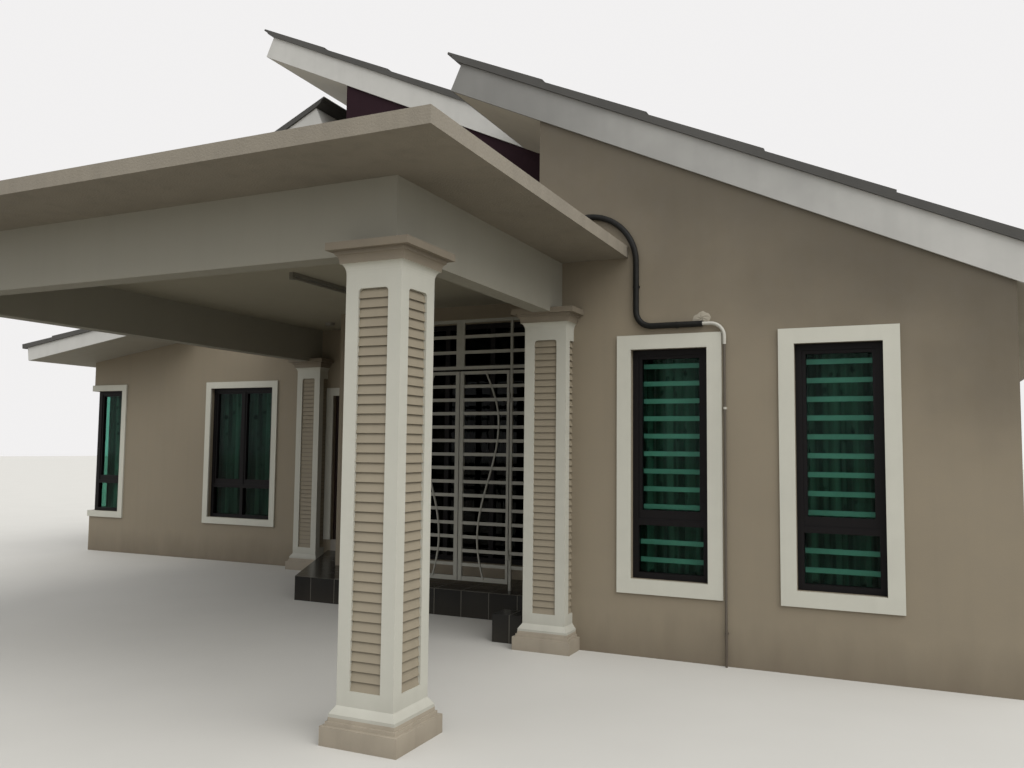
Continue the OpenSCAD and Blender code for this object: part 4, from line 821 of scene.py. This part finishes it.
def tiled_slope(name, origin, fall, out, s0, s1, y0, y1):
    """Height over the slope = rise of the tile towards its lower edge + hump of the roll across it."""
    course, tile_w, rise, roll_h, roll_w, edge_down = 0.345, 0.300, 0.012, 0.008, 0.13, -0.004
    edges = np.append(np.arange(s0, s1 - 0.05, course), s1)
    s = np.repeat(edges, 2)
    part = np.zeros(len(s))
    part[1:-1:2], part[2::2] = 0.0, 1.0
    columns = int(round((y1 - y0) / tile_w)) * 10 + 1
    y = np.linspace(y0, y1, columns)
    roll = roll_h * np.exp(-(((y - y0) / tile_w % 1.0 - 0.5) / roll_w) ** 2)
    height = 0.001 + rise * part[:, None] + roll[None, :]
    height[[0, -1], :] = edge_down
    height[:, [0, -1]] = edge_down
    origin, fall, out = (np.asarray(a, float) for a in (origin, fall, out))
    points = origin + s[:, None, None] * fall + height[..., None] * out
    points = points + y[None, :, None] * np.array([0, 1.0, 0])
    piece = mesh_piece(name, points.reshape(-1, 3), grid_faces(len(s), columns), "roof_covering")
    if np.cross(fall, [0, 1.0, 0]) @ out < 0:
        piece.data.flip_normals()
    lay_uv(piece, np.stack(np.broadcast_arrays(((y - y0) / tile_w)[None, :],
                                               (np.arange(len(s)) // 2 - part)[:, None] + 0.5), -1))
    piece.data.materials.append(tile_concrete)
    return len(edges) - 1


cover_top, low_cover_top, roof_rear, left_roof_front = 0.314, 0.249, 6.87, 0.35
main_fall, main_out = (cos(roof_pitch), 0, -sin(roof_pitch)), (sin(roof_pitch), 0, cos(roof_pitch))
main_base = np.array(right_eave) + cover_top * np.array(main_out)
rows = [tiled_slope("tiles_main", main_base, main_fall, main_out, -9.06, 0.68, 0.105, roof_rear)]
rows += [tiled_slope("tiles_wing", main_base, main_fall, main_out, -5.08, 0.68, -1.545, 0.10)]
left_fall, left_out = (-cos(roof_pitch), 0, -sin(roof_pitch)), (-sin(roof_pitch), 0, cos(roof_pitch))
left_base = np.array([-1.652, 0, 5.679]) + cover_top * np.array(left_out)
rows += [tiled_slope("tiles_upper_left", left_base, left_fall, left_out, -0.16, 3.71,
                     left_roof_front, roof_rear)]
low_fall, low_out = (-cos(low_pitch), 0, -sin(low_pitch)), (-sin(low_pitch), 0, cos(low_pitch))
low_base = np.array([-6.62, 0, 2.906]) + low_cover_top * np.array(low_out)
rows += [tiled_slope("tiles_low_left", low_base, low_fall, low_out, -2.09, 0.385,
                     left_roof_front, roof_rear)]
print("courses of tiles:", rows)

# %% [markdown]
# ## Boards at the sides of the pilasters
#
# The wall pilasters have a recess in each side as well, half of it inside the wall. The same lapped
# boards fill it: over the height their thickness is a saw tooth, full at each lower edge.

# %% Pilaster side boards


def side_boards(x_back, out, wall_y):
    """Thickness over height = a saw tooth from thick to thin, drawn out at right angles to the wall."""
    thick, thin, gap, strip_w, off_wall = 0.018, 0.005, 0.0008, 0.094, 0.0005
    low = boards_low + board_h * np.arange(board_count)
    z = np.stack([low + gap, low + board_h], -1).ravel()
    rows = len(z)
    front = x_back + out * np.tile([thick, thin], board_count)
    back = np.full(rows, x_back)
    near, far = np.full(rows, wall_y - strip_w), np.full(rows, wall_y - off_wall)
    corners = (back, near, z), (front, near, z), (front, far, z), (back, far, z)
    ring = [np.stack(corner, -1) for corner in corners]
    last = 4 * (rows - 1)
    ends = [[3, 2, 1, 0], [last, last + 1, last + 2, last + 3]]
    return np.stack(ring, 1).reshape(-1, 3), [list(q) for q in grid_faces(rows, 4, wrap=True)] + ends


recess_back = 0.159
pilasters = ((2.25, -1.65), (-2.35, 1.15))
strips = [side_boards(x + out * recess_back, out, y) for x, y in pilasters for out in (-1, 1)]
boards = face_outwards(mesh_piece("pilaster_side_boards", *joined(strips), "lapped_board"))
boards.data.materials.append(finishes["lapped_board"])
print("side boards:", len(strips), "strips")

# %% [markdown]
# ## Putty round the pipe
#
# Where the hose meets the white pipe, a hole in the wall was closed with a trowel of pale putty. It is
# a low dome with a ragged edge: the edge radius is a sum of a few waves round the circle.

# %% Putty
around, rings = 48, 9
dome_x, dome_z, dome_back = 3.515, 2.688, -1.6498
angle = np.linspace(0, 2 * np.pi, around, endpoint=False)[None, :]
ring = np.linspace(0, 1, rings)[:, None]
edge = 0.058 + 0.005 * np.sin(2 * angle + 0.4) + 0.003 * np.sin(5 * angle) + 0.0015 * np.sin(9 * angle + 2)
x = dome_x + 1.2 * ring * edge * np.cos(angle) * (1 - 0.25 * np.sin(angle))
z = dome_z + 0.95 * ring * edge * np.sin(angle)
y = dome_back - 0.006 * (1 - ring ** 2) * (1 + 0.25 * np.sin(7 * angle + 6 * ring))
dome = np.stack(np.broadcast_arrays(x, y, z), -1).reshape(-1, 3)
putty = mesh_piece("putty", dome, grid_faces(rings, around, wrap=True), "white_render")
putty.data.flip_normals()
putty.data.materials.append(painted("putty", srgb(151, 144, 129), 0.1, 0.0, 0.0, 0.0, 0.008, 0.002))
print("putty radius about %.3f m" % float(edge.mean()))
